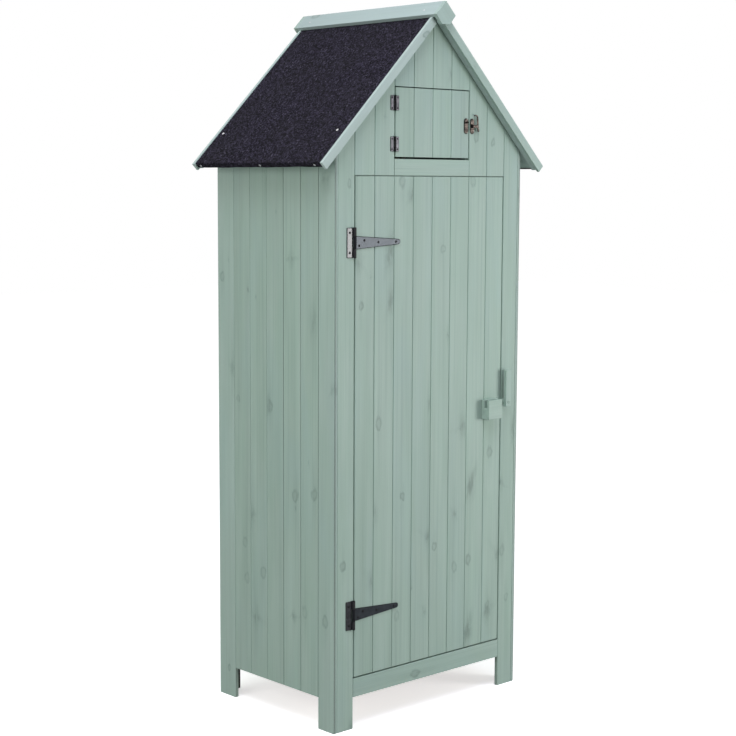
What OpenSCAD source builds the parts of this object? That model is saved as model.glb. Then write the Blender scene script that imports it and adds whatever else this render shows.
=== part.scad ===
// Narrow garden tool shed with a gable roof, one tall door and a small hatch.
// X runs left to right, Y runs front to back, Z runs up. The floor is Z = 0.

/* [Body] */
// Width of the body over the side boards
body_w = 652; // [600:1:720]
// Depth of the body over the front and back boards
body_d = 455; // [420:1:520]
// Thickness of the wall boards
board_t = 10; // [8:0.5:14]
// Thickness of the door and hatch boards
door_board_t = 9.5; // [7.5:0.5:13]
// Width of each front and back corner board
stile_w = 54; // [46:1:64]
// Width of the front corner board on each side wall
side_leg_w = 59.4; // [50:0.1:70]
// Width of each corner board of the back wall
back_leg_w = 50; // [38:1:60]
// Height of the boards above the ground between the legs
leg_h = 80; // [50:1:110]
// Side of the square corner posts
post_s = 22; // [18:1:30]
// Size of the bevel along each board edge
bevel = 1.6; // [0.8:0.1:2.5]
// Gap between neighbouring boards
board_gap = 0.3; // [0.2:0.05:1]

/* [Floor and shelves] */
// Height of the front rail under the door
rail_h = 47.5; // [40:0.5:55]
// Height of the floor surface above the lower edge of the boards
floor_up = 40; // [32:1:44]
// Height of the lower shelf surface
shelf_low_z = 510; // [400:5:560]
// Height of the upper shelf surface
shelf_high_z = 910; // [820:5:1000]
// Depth of the two shelves
shelf_d = 210; // [150:1:260]

/* [Door] */
// Number of boards across the door
door_boards = 8; // [6:1:10]
// Height from the top of the door opening to the top of the ridge cap
gable_h = 426; // [410:1:450]
// Gap at each side of the door
door_gap_side = 2.5; // [1.5:0.1:4]
// Gap above and below the door
door_gap_end = 2; // [1.5:0.1:4]
// Thickness of the door ledges
ledge_t = 15; // [12:1:20]
// Height of each door ledge
ledge_h = 64; // [50:1:80]
// Height of the lower strap hinge above the bottom of the door opening
hinge_up = 161.5; // [120:0.5:220]
// Distance of the upper strap hinge below the top of the door opening
hinge_down = 161; // [120:1:220]
// Height of the turn button pivot
button_z = 773; // [700:1:850]

/* [Hatch] */
// Number of boards across the hatch
hatch_boards = 4; // [4:1:4]
// Height of the board between the door and the hatch
sill_h = 40.5; // [30:0.5:50]
// Height of the hatch opening
hatch_h = 175.5; // [150:0.5:190]
// Gap under the hatch
hatch_gap_low = 3.5; // [2:0.1:5]

/* [Roof] */
// Overall height at the top of the ridge cap
total_h = 1790; // [1760:1:1820]
// Half width over the lower corners of the bargeboards
roof_half = 386; // [376:1:400]
// Thickness of the roof boards
roof_board_t = 10; // [8:0.5:14]
// Thickness of the roofing felt
felt_t = 2; // [1:0.1:3]
// Thickness of the bargeboards
barge_t = 8; // [6:0.5:12]
// Width of the bargeboards
barge_w = 21.5; // [20:0.5:32]
// How far the bargeboards stand above the felt
barge_up = 2.5; // [0:0.5:4]
// Distance from the wall face to the back of a bargeboard
verge_d = 16.7; // [10:0.1:22]
// Thickness of the ridge cap boards
cap_t = 10; // [8:0.5:12]
// Half width of the ridge cap
cap_half = 34; // [30:1:40]
// Distance from the bargeboards to the end plates of the ridge cap
cap_over = 6.8; // [1:0.1:12]

/* [Hidden] */
// Derived heights and widths
front_y = -body_d / 2;
back_y = body_d / 2;
inner_x = body_w / 2 - board_t;
inner_y = body_d / 2 - board_t;
post_x = inner_x - post_s;
post_y = inner_y - post_s;
open_half = inner_x - stile_w;
back_half = inner_x - back_leg_w;
floor_z = leg_h + floor_up;
door_low = leg_h + rail_h;
door_top = total_h - gable_h;
hatch_low = door_top + sill_h;
hatch_high = hatch_low + hatch_h;
pitch_w = 2 * open_half / door_boards;
hatch_half = pitch_w * hatch_boards / 2;
side_boards_n = 5;
side_pitch = (body_d - side_leg_w) / (side_boards_n + 1);
root2 = sqrt(2);
roof_peak = total_h - cap_t * root2;
soffit_n = felt_t + roof_board_t;
soffit_peak = roof_peak - soffit_n * root2;
// Roof pieces, measured down the slope from the ridge and out of the felt
eave_in = 4.4;
eave_s = roof_half * root2 - eave_in;
felt_drop = 4;
cap_s = cap_half * root2 - cap_t;
barge_top_s = cap_s + board_gap;
barge_end_s = roof_half * root2;
barge_low = barge_w - barge_up;
verge_gap = 2.5;
verge_end_s = eave_s - felt_t - board_gap;
roof_boards_n = 8;
roof_y = body_d / 2 + verge_d;
barge_face_y = roof_y + barge_t;
cap_end_t = 11;
cap_end_y = barge_face_y + cap_over;
cap_end_drop = 57;
cap_end_half = 13.5;
// Clout nails in the felt and in the ridge cap
nail_r = 3.4;
nail_head_t = 0.9;
nail_in_front = 31;
nail_in_back = 16;
nail_front_y = -roof_y + nail_in_front;
nail_back_y = roof_y - nail_in_back;
nail_mid_y = -10;
nail_eave_down = 8.5;
nail_up = 109.5;
cap_nail_s = 19;
cap_nail_r = 2.4;
cap_nail_in_back = 25;
// Tongue and groove of the wall boards
tongue_t = 3;
tongue_l = 3;
tongue_y = 4;
groove_play = 0.2;
// Battens, ledges and braces
batten = 22;
fit_play = 0.5;
post_play = 3;
loft_z = hatch_low - fit_play;
head_batten_h = 52;
mid_batten_z = 700;
mid_batten_h = 40;
joist_up = 5;
stop_t = 12;
stop_over = 10;
hatch_stop_over = 6;
hatch_stop_w = 26;
beam_h = 45;
ledge_in = 24;
ledge_half = open_half - ledge_in;
brace_w = 56;
brace_in = 12;
hatch_ledge_h = 40;
hatch_ledge_t = 12;
hatch_ledge_in = 12;
hatch_ledge_side = 14;
// Strap hinges
plate_t = 2;
barrel_r = 4;
pin_r = 2;
pin_play = 0.06;
pin_head_t = 1.2;
lift = 0.3;
leaf_in = 4.5;
leaf_out = 22.6;
leaf_h = 72;
strap_h = 31;
strap_tip_r = 6.5;
barrel_off = 3;
barrel_x = -open_half - barrel_off;
barrel_y = front_y - barrel_r - lift;
strap_root = 14;
strap_root_x = barrel_x + strap_root;
strap_past_joint = 13;
strap_end_x = -open_half + 2 * pitch_w + strap_past_joint;
hinge_z = [door_low + hinge_up, door_top - hinge_down];
ledge_z = [hinge_z[0], (hinge_z[0] + hinge_z[1]) / 2, hinge_z[1]];
leaf_screw_off = 14.1;
leaf_screw_x = barrel_x - leaf_screw_off;
leaf_screw_z = 24;
// Strap screws: two in the first door board and one in each of the next two
screw_past_edge = [13.5, 30, 11, 4.5];
screw_up = [-7.5, 5, 0, 0];
screw_board = [0, 0, 1, 2];
strap_screws = [for (i = [0 : 3])
    [-open_half + screw_board[i] * pitch_w + screw_past_edge[i], screw_up[i]]];
screw_r = 1.8;
screw_head_r = 3.2;
screw_head_t = 1.2;
screw_in = 7;
screw_play = 0.05;
// Hatch hinges
hatch_leaf_in = 3;
hatch_leaf_w = 14;
hatch_leaf_h = 36;
hatch_plate_t = 1.5;
hatch_barrel_r = 2.6;
hatch_pin_r = 1.3;
hatch_pin_head_t = 1;
hatch_barrel_x = -hatch_half - 1;
hatch_barrel_y = front_y - hatch_barrel_r - lift;
hatch_hinge_in = [35.7, 40.6];
hatch_hinge_z = [hatch_low + hatch_hinge_in[0], hatch_high - hatch_hinge_in[1]];
hatch_screw_x = 9.2;
hatch_screw_z = 12.6;
small_screw_r = 1.2;
small_head_r = 2.3;
small_head_t = 0.9;
small_in = 6;
// Turn button and its catch block
button_side = 9.5;
button_x = open_half + button_side;
button_t = 9;
button_h = 20;
button_long = 84.5;
button_short = 12.5;
button_off = 10;
button_pin_r = 2.5;
button_play = 0.08;
button_head_r = 4.5;
button_head_t = 1.5;
spacer_r = 8;
block_w = 51;
block_side = 23;
block_x = [open_half - block_side - block_w, open_half - block_side];
block_h = 51;
block_up = 11;
block_z = [button_z + block_up - block_h, button_z + block_up];
block_d = 27;
notch_y = [button_off - fit_play, button_off + button_t + fit_play];
notch_low = button_z - button_h / 2 - 0.6;
// Hook of the hatch
hook_side = 8.5;
hook_up = 85.5;
hook_x = hatch_half + hook_side;
hook_z = hatch_low + hook_up;
hook_plate_t = 2;
hook_plate_w = 15;
hook_plate_h = 39;
hook_boss = 4.1;
hook_boss_r = 4.5;
hook_t = 2.6;
hook_eye_r = 5;
hook_pin_r = 2;
hook_head_r = 3.4;
hook_head_t = 1.1;
hook_screw_z = 14.5;
catch_side = 22;
catch_x = hook_x - catch_side;
catch_peg = [-21, 8.8];
catch_peg_r = 2.4;
catch_peg_h = 8.5;

// Profile of one board: front edge at y = 0, bevelled long edges, tongue and groove.
module board_shape(w, t, groove, tongue) {
    difference() {
        union() {
            polygon([[bevel, 0], [w - bevel, 0], [w, bevel], [w, t], [0, t], [0, bevel]]);
            if (tongue) translate([w - 1, tongue_y]) square([tongue_l + 1, tongue_t]);
        }
        if (groove) translate([-1, tongue_y - groove_play])
            square([tongue_l + 1.5, tongue_t + 2 * groove_play]);
    }
}

// One upright board standing at z = 0 with its face on y = 0.
module plank(w, h, t = board_t, groove = true, tongue = true) {
    linear_extrude(h) board_shape(w, t, groove, tongue);
}

// A flat shape in X and Z drawn out between two depths.
module along_y(y0, y1) {
    translate([0, y1, 0]) rotate([90, 0, 0]) linear_extrude(y1 - y0) children();
}

// A block given by its two corners.
module block(a, b) {
    translate(a) cube([b[0] - a[0], b[1] - a[1], b[2] - a[2]]);
}

// Space below the underside of the roof.
module under_roof() {
    far = body_w;
    intersection() {
        children();
        along_y(-body_d, body_d)
            polygon([[-far, 0], [far, 0], [far, soffit_peak - far], [0, soffit_peak],
                [-far, soffit_peak - far]]);
    }
}

// A row of upright boards on the front plane, from x0, n boards of one pitch.
module front_row(x0, n, z0, z1, pitch, t = board_t) {
    for (i = [0 : n - 1])
        translate([x0 + i * pitch + board_gap / 2, front_y, z0])
            plank(pitch - board_gap, z1 - z0, t, i > 0, i < n - 1);
}

// Places the children in slope coordinates: X down the slope, Z out of the roof.
module slope_right() {
    translate([0, 0, roof_peak]) rotate([0, 45, 0]) children();
}

module slope_left() {
    mirror([1, 0, 0]) slope_right() children();
}

// Shank or bore of a screw that enters the front face, and its head.
module screw(x, z, y, r, head_r, head_t, in) {
    translate([x, y, z]) rotate([90, 0, 0]) cylinder(r = head_r, h = head_t, $fn = 24);
    translate([x, y + in, z]) rotate([90, 0, 0]) cylinder(r = r, h = in + head_t / 2, $fn = 24);
}

module screw_bore(x, z, y, r, in) {
    translate([x, y + in + 0.3, z]) rotate([90, 0, 0]) cylinder(r = r, h = in + 3, $fn = 24);
}

// Walls

// Left corner board of the front wall, with bores cut by the children.
module stile(w) {
    difference() {
        under_roof() translate([-inner_x, front_y, 0])
            plank(w, soffit_peak, board_t, false, false);
        children();
    }
}

module front_stile_left() {
    color("DarkSeaGreen") stile(stile_w) {
        for (zc = hinge_z, s = [-1, 1])
            screw_bore(leaf_screw_x, zc + s * leaf_screw_z, front_y, screw_r + screw_play, screw_in);
    }
}

module front_stile_right() {
    color("DarkSeaGreen") mirror([1, 0, 0]) stile(stile_w) {
        screw_bore(-button_x, button_z, front_y, button_pin_r + screw_play, screw_in);
    }
}

module front_rail() {
    color("DarkSeaGreen") block([-open_half + board_gap, front_y, leg_h],
        [open_half - board_gap, front_y + board_t, door_low]);
}

module gable_boards() {
    color("DarkSeaGreen") difference() {
        under_roof() {
            for (s = [0, 1]) mirror([s, 0, 0])
                front_row(-open_half, (door_boards - hatch_boards) / 2, door_top, soffit_peak, pitch_w);
            front_row(-hatch_half, hatch_boards, hatch_high, soffit_peak, pitch_w);
        }
        for (zc = hatch_hinge_z, s = [-1, 1])
            screw_bore(hatch_barrel_x - hatch_screw_x, zc + s * hatch_screw_z, front_y,
                small_screw_r + screw_play, small_in);
        for (s = [-1, 1])
            screw_bore(hook_x, hook_z + s * hook_screw_z, front_y, small_screw_r + screw_play,
                small_in);
    }
}

module hatch_sill() {
    color("DarkSeaGreen") block([-hatch_half + board_gap, front_y, door_top],
        [hatch_half - board_gap, front_y + board_t, hatch_low]);
}

// Boards of the left side wall, laid along Y with their faces on the left.
module side_board(y0, w, z0, groove, tongue) {
    under_roof() translate([-body_w / 2, y0 + w, z0]) rotate([0, 0, -90])
        plank(w, soffit_peak - z0, board_t, groove, tongue);
}

module side_boards() {
    last = side_boards_n - 1;
    for (i = [0 : last])
        side_board(front_y + side_leg_w + i * side_pitch + board_gap / 2,
            side_pitch - board_gap, leg_h, i < last, i > 0);
}

module side_legs() {
    side_board(front_y, side_leg_w - board_gap / 2, 0, false, false);
    side_board(back_y - side_pitch + board_gap / 2, side_pitch - board_gap / 2, 0, false, false);
}

module side_boards_left() {
    color("DarkSeaGreen") side_boards();
}

module side_boards_right() {
    color("DarkSeaGreen") mirror([1, 0, 0]) side_boards();
}

module side_legs_left() {
    color("DarkSeaGreen") side_legs();
}

module side_legs_right() {
    color("DarkSeaGreen") mirror([1, 0, 0]) side_legs();
}

module back_boards() {
    color("DarkSeaGreen") under_roof() mirror([0, 1, 0])
        front_row(-back_half, door_boards, leg_h, soffit_peak, 2 * back_half / door_boards);
}

module back_legs() {
    color("DarkSeaGreen") for (s = [0, 1]) mirror([s, 0, 0]) mirror([0, 1, 0]) stile(back_leg_w);
}

// Frame inside the walls

module corner_posts() {
    color("BurlyWood") for (x = [0, 1], y = [0, 1])
        mirror([x, 0, 0]) mirror([0, y, 0])
            block([-inner_x, -inner_y, leg_h], [-post_x, -post_y, soffit_peak - inner_x - post_play]);
}

module side_battens() {
    color("BurlyWood") for (s = [0, 1]) mirror([s, 0, 0]) {
        block([-inner_x, -post_y, leg_h], [-post_x, post_y, floor_z]);
        block([-inner_x, -post_y, loft_z - board_t - batten], [-post_x, post_y, loft_z - board_t]);
    }
}

module head_batten() {
    color("DarkSeaGreen") block([-post_x, -inner_y, loft_z - head_batten_h],
        [post_x, -post_y, loft_z]);
}

module back_battens() {
    color("BurlyWood") {
        block([-post_x, post_y, loft_z - board_t - batten], [post_x, inner_y, loft_z]);
        block([-post_x, post_y, mid_batten_z], [post_x, inner_y, mid_batten_z + mid_batten_h]);
    }
}

module door_stops() {
    color("DarkSeaGreen") for (s = [0, 1]) mirror([s, 0, 0])
        block([-post_x, -inner_y, floor_z + board_t],
            [-open_half + stop_over, -inner_y + stop_t, loft_z - head_batten_h - fit_play]);
}

module hatch_stops() {
    out = hatch_half + hatch_stop_w - hatch_stop_over;
    color("DarkSeaGreen") for (s = [0, 1]) mirror([s, 0, 0])
        block([-out, -inner_y, hatch_low], [-hatch_half + hatch_stop_over, -inner_y + stop_t,
            soffit_peak - out - 2 * post_play]);
}

module floor_joists() {
    color("BurlyWood") for (y = [-inner_y, -post_s / 2, post_y])
        block([-post_x, y, leg_h + joist_up], [post_x, y + post_s, floor_z - board_t]);
}

module floor_boards() {
    n = 9;
    w = 2 * post_x / n;
    color("BurlyWood") for (i = [0 : n - 1])
        block([-post_x + i * w + board_gap, -inner_y, floor_z - board_t],
            [-post_x + (i + 1) * w - board_gap, inner_y, floor_z]);
}

module shelf(z) {
    n = 3;
    w = shelf_d / n;
    for (i = [0 : n - 1])
        block([-inner_x + fit_play, post_y - shelf_d + i * w + board_gap, z - board_t],
            [inner_x - fit_play, post_y - shelf_d + (i + 1) * w - board_gap, z]);
}

module shelf_lower() {
    color("BurlyWood") shelf(shelf_low_z);
}

module shelf_upper() {
    color("BurlyWood") shelf(shelf_high_z);
}

module shelf_battens() {
    color("BurlyWood") for (s = [0, 1], z = [shelf_low_z, shelf_high_z]) mirror([s, 0, 0])
        block([-inner_x, post_y - shelf_d, z - board_t - batten], [-post_x, post_y, z - board_t]);
}

module loft_boards() {
    n = 6;
    w = 2 * post_y / n;
    color("BurlyWood") for (i = [0 : n - 1])
        block([-inner_x + fit_play, -post_y + i * w + board_gap, loft_z - board_t],
            [inner_x - fit_play, -post_y + (i + 1) * w - board_gap, loft_z]);
}

module ridge_beam() {
    color("BurlyWood") block([-batten / 2, -inner_y, soffit_peak - batten / 2 - beam_h],
        [batten / 2, inner_y, soffit_peak - batten / 2]);
}

// Roof

module roof_boards() {
    first = soffit_n;
    last = eave_s - felt_t;
    w = (last - first) / roof_boards_n;
    for (i = [0 : roof_boards_n - 1]) {
        a = first + i * w + (i > 0 ? board_gap / 2 : 0);
        b = first + (i + 1) * w - board_gap / 2;
        translate([0, roof_y, 0]) rotate([90, 0, 0]) linear_extrude(2 * roof_y)
            polygon([[i > 0 ? a : felt_t, -felt_t], [b, -felt_t], [b, -soffit_n + bevel],
                [b - bevel, -soffit_n], [a, -soffit_n]]);
    }
}

// One felt sheet, which turns down over the eave and hangs a little below the boards.
module felt() {
    low = -soffit_n - felt_drop;
    translate([0, roof_y, 0]) rotate([90, 0, 0]) linear_extrude(2 * roof_y)
        polygon([[0, 0], [eave_s, 0], [eave_s, low], [eave_s - felt_t, low],
            [eave_s - felt_t, -felt_t], [felt_t, -felt_t]]);
}

// The battens between the roof boards and the bargeboards, just clear of the walls.
module verge() {
    for (s = [0, 1]) mirror([0, s, 0])
        translate([0, front_y - verge_gap, 0]) rotate([90, 0, 0]) linear_extrude(verge_d - verge_gap)
            polygon([[soffit_n + board_gap, -soffit_n], [verge_end_s, -soffit_n],
                [verge_end_s, -barge_low], [barge_low + board_gap, -barge_low]]);
}

module bargeboard() {
    block([barge_top_s, -barge_face_y, -barge_low], [barge_end_s, -roof_y, barge_up]);
}

module cap_board() {
    translate([0, cap_end_y, 0]) rotate([90, 0, 0]) linear_extrude(2 * cap_end_y)
        polygon([[0, 0], [cap_s, 0], [cap_s, cap_t], [-cap_t, cap_t]]);
}

module roof_boards_left() {
    color("DarkSeaGreen") slope_left() roof_boards();
}

module roof_boards_right() {
    color("DarkSeaGreen") slope_right() roof_boards();
}

module felt_left() {
    color("DimGray") slope_left() felt();
}

module felt_right() {
    color("DimGray") slope_right() felt();
}

module verge_battens() {
    color("DarkSeaGreen") {
        slope_left() verge();
        slope_right() verge();
    }
}

module bargeboard_front_left() {
    color("LightSteelBlue") slope_left() bargeboard();
}

module bargeboard_front_right() {
    color("LightSteelBlue") slope_right() bargeboard();
}

module bargeboard_back_left() {
    color("LightSteelBlue") mirror([0, 1, 0]) slope_left() bargeboard();
}

module bargeboard_back_right() {
    color("LightSteelBlue") mirror([0, 1, 0]) slope_right() bargeboard();
}

module ridge_cap_left() {
    color("LightSteelBlue") slope_left() cap_board();
}

module ridge_cap_right() {
    color("LightSteelBlue") slope_right() cap_board();
}

module ridge_ends() {
    color("LightSteelBlue") for (s = [0, 1]) mirror([0, s, 0])
        along_y(-cap_end_y - cap_end_t, -cap_end_y)
            polygon([[0, total_h], [cap_half, total_h - cap_half],
                [cap_end_half, total_h - cap_end_drop], [-cap_end_half, total_h - cap_end_drop],
                [-cap_half, total_h - cap_half]]);
}

// Nails along the eave edge, high on the felt and in the ridge cap.
module roof_nails() {
    color("Silver") for (m = [0, 1]) mirror([m, 0, 0]) slope_right() {
        for (y = [nail_front_y, nail_mid_y, nail_back_y])
            translate([eave_s, y, -nail_eave_down]) rotate([0, 90, 0])
                cylinder(r = nail_r, h = nail_head_t, $fn = 24);
        for (y = [nail_front_y, nail_back_y])
            translate([eave_s - nail_up, y, 0]) cylinder(r = nail_r, h = nail_head_t, $fn = 24);
        for (y = [nail_front_y, roof_y - cap_nail_in_back])
            translate([cap_nail_s, y, cap_t]) cylinder(r = cap_nail_r, h = nail_head_t, $fn = 24);
    }
}

// Door

module door_planks() {
    half = open_half - door_gap_side;
    color("DarkSeaGreen") difference() {
        for (i = [0 : door_boards - 1]) {
            a = i == 0 ? -half : -open_half + i * pitch_w + board_gap / 2;
            b = i == door_boards - 1 ? half : -open_half + (i + 1) * pitch_w - board_gap / 2;
            translate([a, front_y, door_low + door_gap_end])
                plank(b - a, door_top - door_low - 2 * door_gap_end, door_board_t,
                    i > 0, i < door_boards - 1);
        }
        for (zc = hinge_z, p = strap_screws)
            screw_bore(p[0], zc + p[1], front_y, screw_r + screw_play, screw_in);
    }
}

module door_ledges() {
    color("BurlyWood") for (z = ledge_z)
        block([-ledge_half, front_y + door_board_t, z - ledge_h / 2],
            [ledge_half, front_y + door_board_t + ledge_t, z + ledge_h / 2]);
}

// Diagonal braces rising away from the hinges between the ledges.
module door_braces() {
    x0 = -ledge_half + brace_in;
    x1 = ledge_half - brace_in - brace_w;
    color("BurlyWood") for (i = [0, 1]) {
        z0 = ledge_z[i] + ledge_h / 2 + board_gap;
        z1 = ledge_z[i + 1] - ledge_h / 2 - board_gap;
        along_y(front_y + door_board_t, front_y + door_board_t + ledge_t)
            polygon([[x0, z0], [x0 + brace_w, z0], [x1 + brace_w, z1], [x1, z1]]);
    }
}

// Fixed leaf of a strap hinge: a narrow plate with a knuckle at each end.
module hinge_leaf(zc) {
    x1 = barrel_x - leaf_in;
    x0 = barrel_x - leaf_out;
    k = (leaf_h - strap_h) / 2 - lift;
    difference() {
        union() {
            block([x0, front_y - plate_t, zc - leaf_h / 2], [x1, front_y, zc + leaf_h / 2]);
            for (z = [zc - leaf_h / 2, zc + leaf_h / 2 - k]) {
                translate([barrel_x, barrel_y, z]) cylinder(r = barrel_r, h = k, $fn = 32);
                block([x1 - 1, front_y - plate_t, z], [barrel_x, front_y - lift, z + k]);
            }
        }
        translate([barrel_x, barrel_y, zc - leaf_h])
            cylinder(r = pin_r + pin_play, h = 2 * leaf_h, $fn = 32);
        for (s = [-1, 1])
            screw_bore(leaf_screw_x, zc + s * leaf_screw_z, front_y, screw_r + screw_play, 1);
    }
}

module hinge_leaves() {
    color("DimGray") for (zc = hinge_z) hinge_leaf(zc);
}

// Long tapering strap on the door with the middle knuckle.
module hinge_strap(zc) {
    h = strap_h / 2;
    r = strap_tip_r;
    difference() {
        union() {
            along_y(front_y - plate_t, front_y)
                polygon([[barrel_x + barrel_r, zc - h], [strap_root_x, zc - h],
                    [strap_end_x, zc - r], [strap_end_x, zc + r], [strap_root_x, zc + h],
                    [barrel_x + barrel_r, zc + h]]);
            translate([strap_end_x, front_y, zc]) rotate([90, 0, 0])
                cylinder(r = r, h = plate_t, $fn = 32);
            translate([barrel_x, barrel_y, zc - h]) cylinder(r = barrel_r, h = strap_h, $fn = 32);
            block([barrel_x, front_y - plate_t, zc - h],
                [barrel_x + barrel_r + 1, front_y - lift, zc + h]);
        }
        translate([barrel_x, barrel_y, zc - strap_h])
            cylinder(r = pin_r + pin_play, h = 2 * strap_h, $fn = 32);
        for (p = strap_screws)
            screw_bore(p[0], zc + p[1], front_y, screw_r + screw_play, 1);
    }
}

module hinge_straps() {
    color("DimGray") for (zc = hinge_z) hinge_strap(zc);
}

// A hinge pin about z = 0 with a flat head at each end.
module riveted_pin(h, r, head_r, head_t) {
    translate([0, 0, -h / 2]) cylinder(r = r, h = h, $fn = 32);
    for (s = [0, 1]) mirror([0, 0, s])
        translate([0, 0, h / 2]) cylinder(r = head_r, h = head_t, $fn = 32);
}

module hinge_pins() {
    color("Black") for (zc = hinge_z) translate([barrel_x, barrel_y, zc])
        riveted_pin(leaf_h, pin_r, barrel_r - 0.5, pin_head_t);
}

module leaf_screws() {
    color("Black") for (zc = hinge_z, s = [-1, 1])
        screw(leaf_screw_x, zc + s * leaf_screw_z, front_y - plate_t, screw_r, screw_head_r,
            screw_head_t, screw_in + plate_t);
}

module strap_screws_set() {
    color("Black") for (zc = hinge_z, p = strap_screws)
        screw(p[0], zc + p[1], front_y - plate_t, screw_r, screw_head_r, screw_head_t,
            screw_in + plate_t);
}

// Wooden catch block on the door with a notch that is open at the top.
module latch_block() {
    color("DarkSeaGreen") difference() {
        block([block_x[0], front_y - block_d, block_z[0]], [block_x[1], front_y, block_z[1]]);
        block([block_x[0] - 1, front_y - notch_y[1], notch_low],
            [block_x[1] + 1, front_y - notch_y[0], block_z[1] + 1]);
    }
}

module button_pivot() {
    color("DarkSeaGreen") translate([button_x, front_y, button_z]) rotate([90, 0, 0]) {
        cylinder(r = spacer_r, h = button_off - lift, $fn = 32);
        translate([0, 0, -screw_in])
            cylinder(r = button_pin_r, h = screw_in + button_off + button_t + 1, $fn = 32);
        translate([0, 0, button_off + button_t + lift])
            cylinder(r = button_head_r, h = button_head_t, $fn = 32);
    }
}

// Turn button, drawn upright; it turns down to the left into the notch.
module turn_button() {
    color("DarkSeaGreen") difference() {
        block([button_x - button_h / 2, front_y - button_off - button_t, button_z - button_short],
            [button_x + button_h / 2, front_y - button_off, button_z + button_long]);
        translate([button_x, front_y, button_z]) rotate([90, 0, 0])
            cylinder(r = button_pin_r + button_play, h = button_off + button_t + 1, $fn = 32);
    }
}

// Hatch

module hatch_planks() {
    half = hatch_half - door_gap_side;
    low = hatch_low + hatch_gap_low;
    high = hatch_high - door_gap_side;
    color("DarkSeaGreen") difference() {
        for (i = [0 : hatch_boards - 1]) {
            a = i == 0 ? -half : -hatch_half + i * pitch_w + board_gap / 2;
            b = i == hatch_boards - 1 ? half : -hatch_half + (i + 1) * pitch_w - board_gap / 2;
            translate([a, front_y, low])
                plank(b - a, high - low, door_board_t, i > 0, i < hatch_boards - 1);
        }
        for (zc = hatch_hinge_z, s = [-1, 1])
            screw_bore(hatch_barrel_x + hatch_screw_x, zc + s * hatch_screw_z, front_y,
                small_screw_r + screw_play, small_in);
        for (s = [-1, 1])
            screw_bore(catch_x, hook_z + s * hook_screw_z, front_y, small_screw_r + screw_play,
                small_in);
    }
}

module hatch_ledges() {
    half = hatch_half - hatch_ledge_side;
    y = front_y + door_board_t;
    lows = [hatch_low + hatch_ledge_in, hatch_high - hatch_ledge_in - hatch_ledge_h];
    color("BurlyWood") for (z = lows)
        block([-half, y, z], [half, y + hatch_ledge_t, z + hatch_ledge_h]);
}

// One leaf of a small butt hinge, with the knuckles of its side.
module butt_leaf(zc, fixed) {
    seg = hatch_leaf_h / 3;
    side = fixed ? -1 : 1;
    x0 = hatch_barrel_x + side * hatch_leaf_in;
    x1 = hatch_barrel_x + side * hatch_leaf_w;
    zs = fixed ? [-1.5 * seg, 0.5 * seg + lift / 2] : [-0.5 * seg + lift / 2];
    kh = seg - (fixed ? lift / 2 : lift);
    difference() {
        union() {
            block([min(x0, x1), front_y - hatch_plate_t, zc - hatch_leaf_h / 2],
                [max(x0, x1), front_y, zc + hatch_leaf_h / 2]);
            for (z = zs) {
                translate([hatch_barrel_x, hatch_barrel_y, zc + z])
                    cylinder(r = hatch_barrel_r, h = kh, $fn = 32);
                block([min(x0 + side, hatch_barrel_x), front_y - hatch_plate_t, zc + z],
                    [max(x0 + side, hatch_barrel_x), front_y - lift, zc + z + kh]);
            }
        }
        translate([hatch_barrel_x, hatch_barrel_y, zc - hatch_leaf_h])
            cylinder(r = hatch_pin_r + pin_play, h = 2 * hatch_leaf_h, $fn = 32);
        for (s = [-1, 1])
            screw_bore(hatch_barrel_x + side * hatch_screw_x, zc + s * hatch_screw_z, front_y,
                small_screw_r + screw_play, 1);
    }
}

module hatch_fixed_leaves() {
    color("RosyBrown") for (zc = hatch_hinge_z) butt_leaf(zc, true);
}

module hatch_moving_leaves() {
    color("RosyBrown") for (zc = hatch_hinge_z) butt_leaf(zc, false);
}

module hatch_pins() {
    color("Black") for (zc = hatch_hinge_z) translate([hatch_barrel_x, hatch_barrel_y, zc])
        riveted_pin(hatch_leaf_h, hatch_pin_r, hatch_barrel_r - 0.3, hatch_pin_head_t);
}

module butt_screws(side) {
    for (zc = hatch_hinge_z, s = [-1, 1])
        screw(hatch_barrel_x + side * hatch_screw_x, zc + s * hatch_screw_z,
            front_y - hatch_plate_t, small_screw_r, small_head_r, small_head_t,
            small_in + hatch_plate_t);
}

module hatch_fixed_screws() {
    color("Black") butt_screws(-1);
}

module hatch_moving_screws() {
    color("Black") butt_screws(1);
}

// A small upright plate with rounded ends and two screw holes.
module catch_base(x) {
    r = hook_plate_w / 2;
    d = hook_plate_h / 2 - r;
    difference() {
        union() {
            block([x - r, front_y - hook_plate_t, hook_z - d], [x + r, front_y, hook_z + d]);
            for (s = [-1, 1])
                translate([x, front_y, hook_z + s * d]) rotate([90, 0, 0])
                    cylinder(r = r, h = hook_plate_t, $fn = 32);
        }
        for (s = [-1, 1])
            screw_bore(x, hook_z + s * hook_screw_z, front_y, small_screw_r + screw_play, 1);
    }
}

// Catch plate on the hatch with the peg that the hook drops over.
module hatch_catch() {
    color("Sienna") union() {
        catch_base(catch_x);
        translate([hook_x + catch_peg[0], front_y - 1, hook_z + catch_peg[1]])
            rotate([90, 0, 0]) cylinder(r = catch_peg_r, h = catch_peg_h - 1, $fn = 32);
    }
}

// Base plate of the hook with its boss and rivet.
module hook_plate() {
    color("Sienna") union() {
        catch_base(hook_x);
        translate([hook_x, front_y - 1, hook_z]) rotate([90, 0, 0]) {
            cylinder(r = hook_boss_r, h = hook_boss - 1, $fn = 32);
            cylinder(r = hook_pin_r, h = hook_boss + hook_t, $fn = 32);
            translate([0, 0, hook_boss + hook_t - 1 + 2 * lift])
                cylinder(r = hook_head_r, h = hook_head_t, $fn = 32);
        }
    }
}

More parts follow.
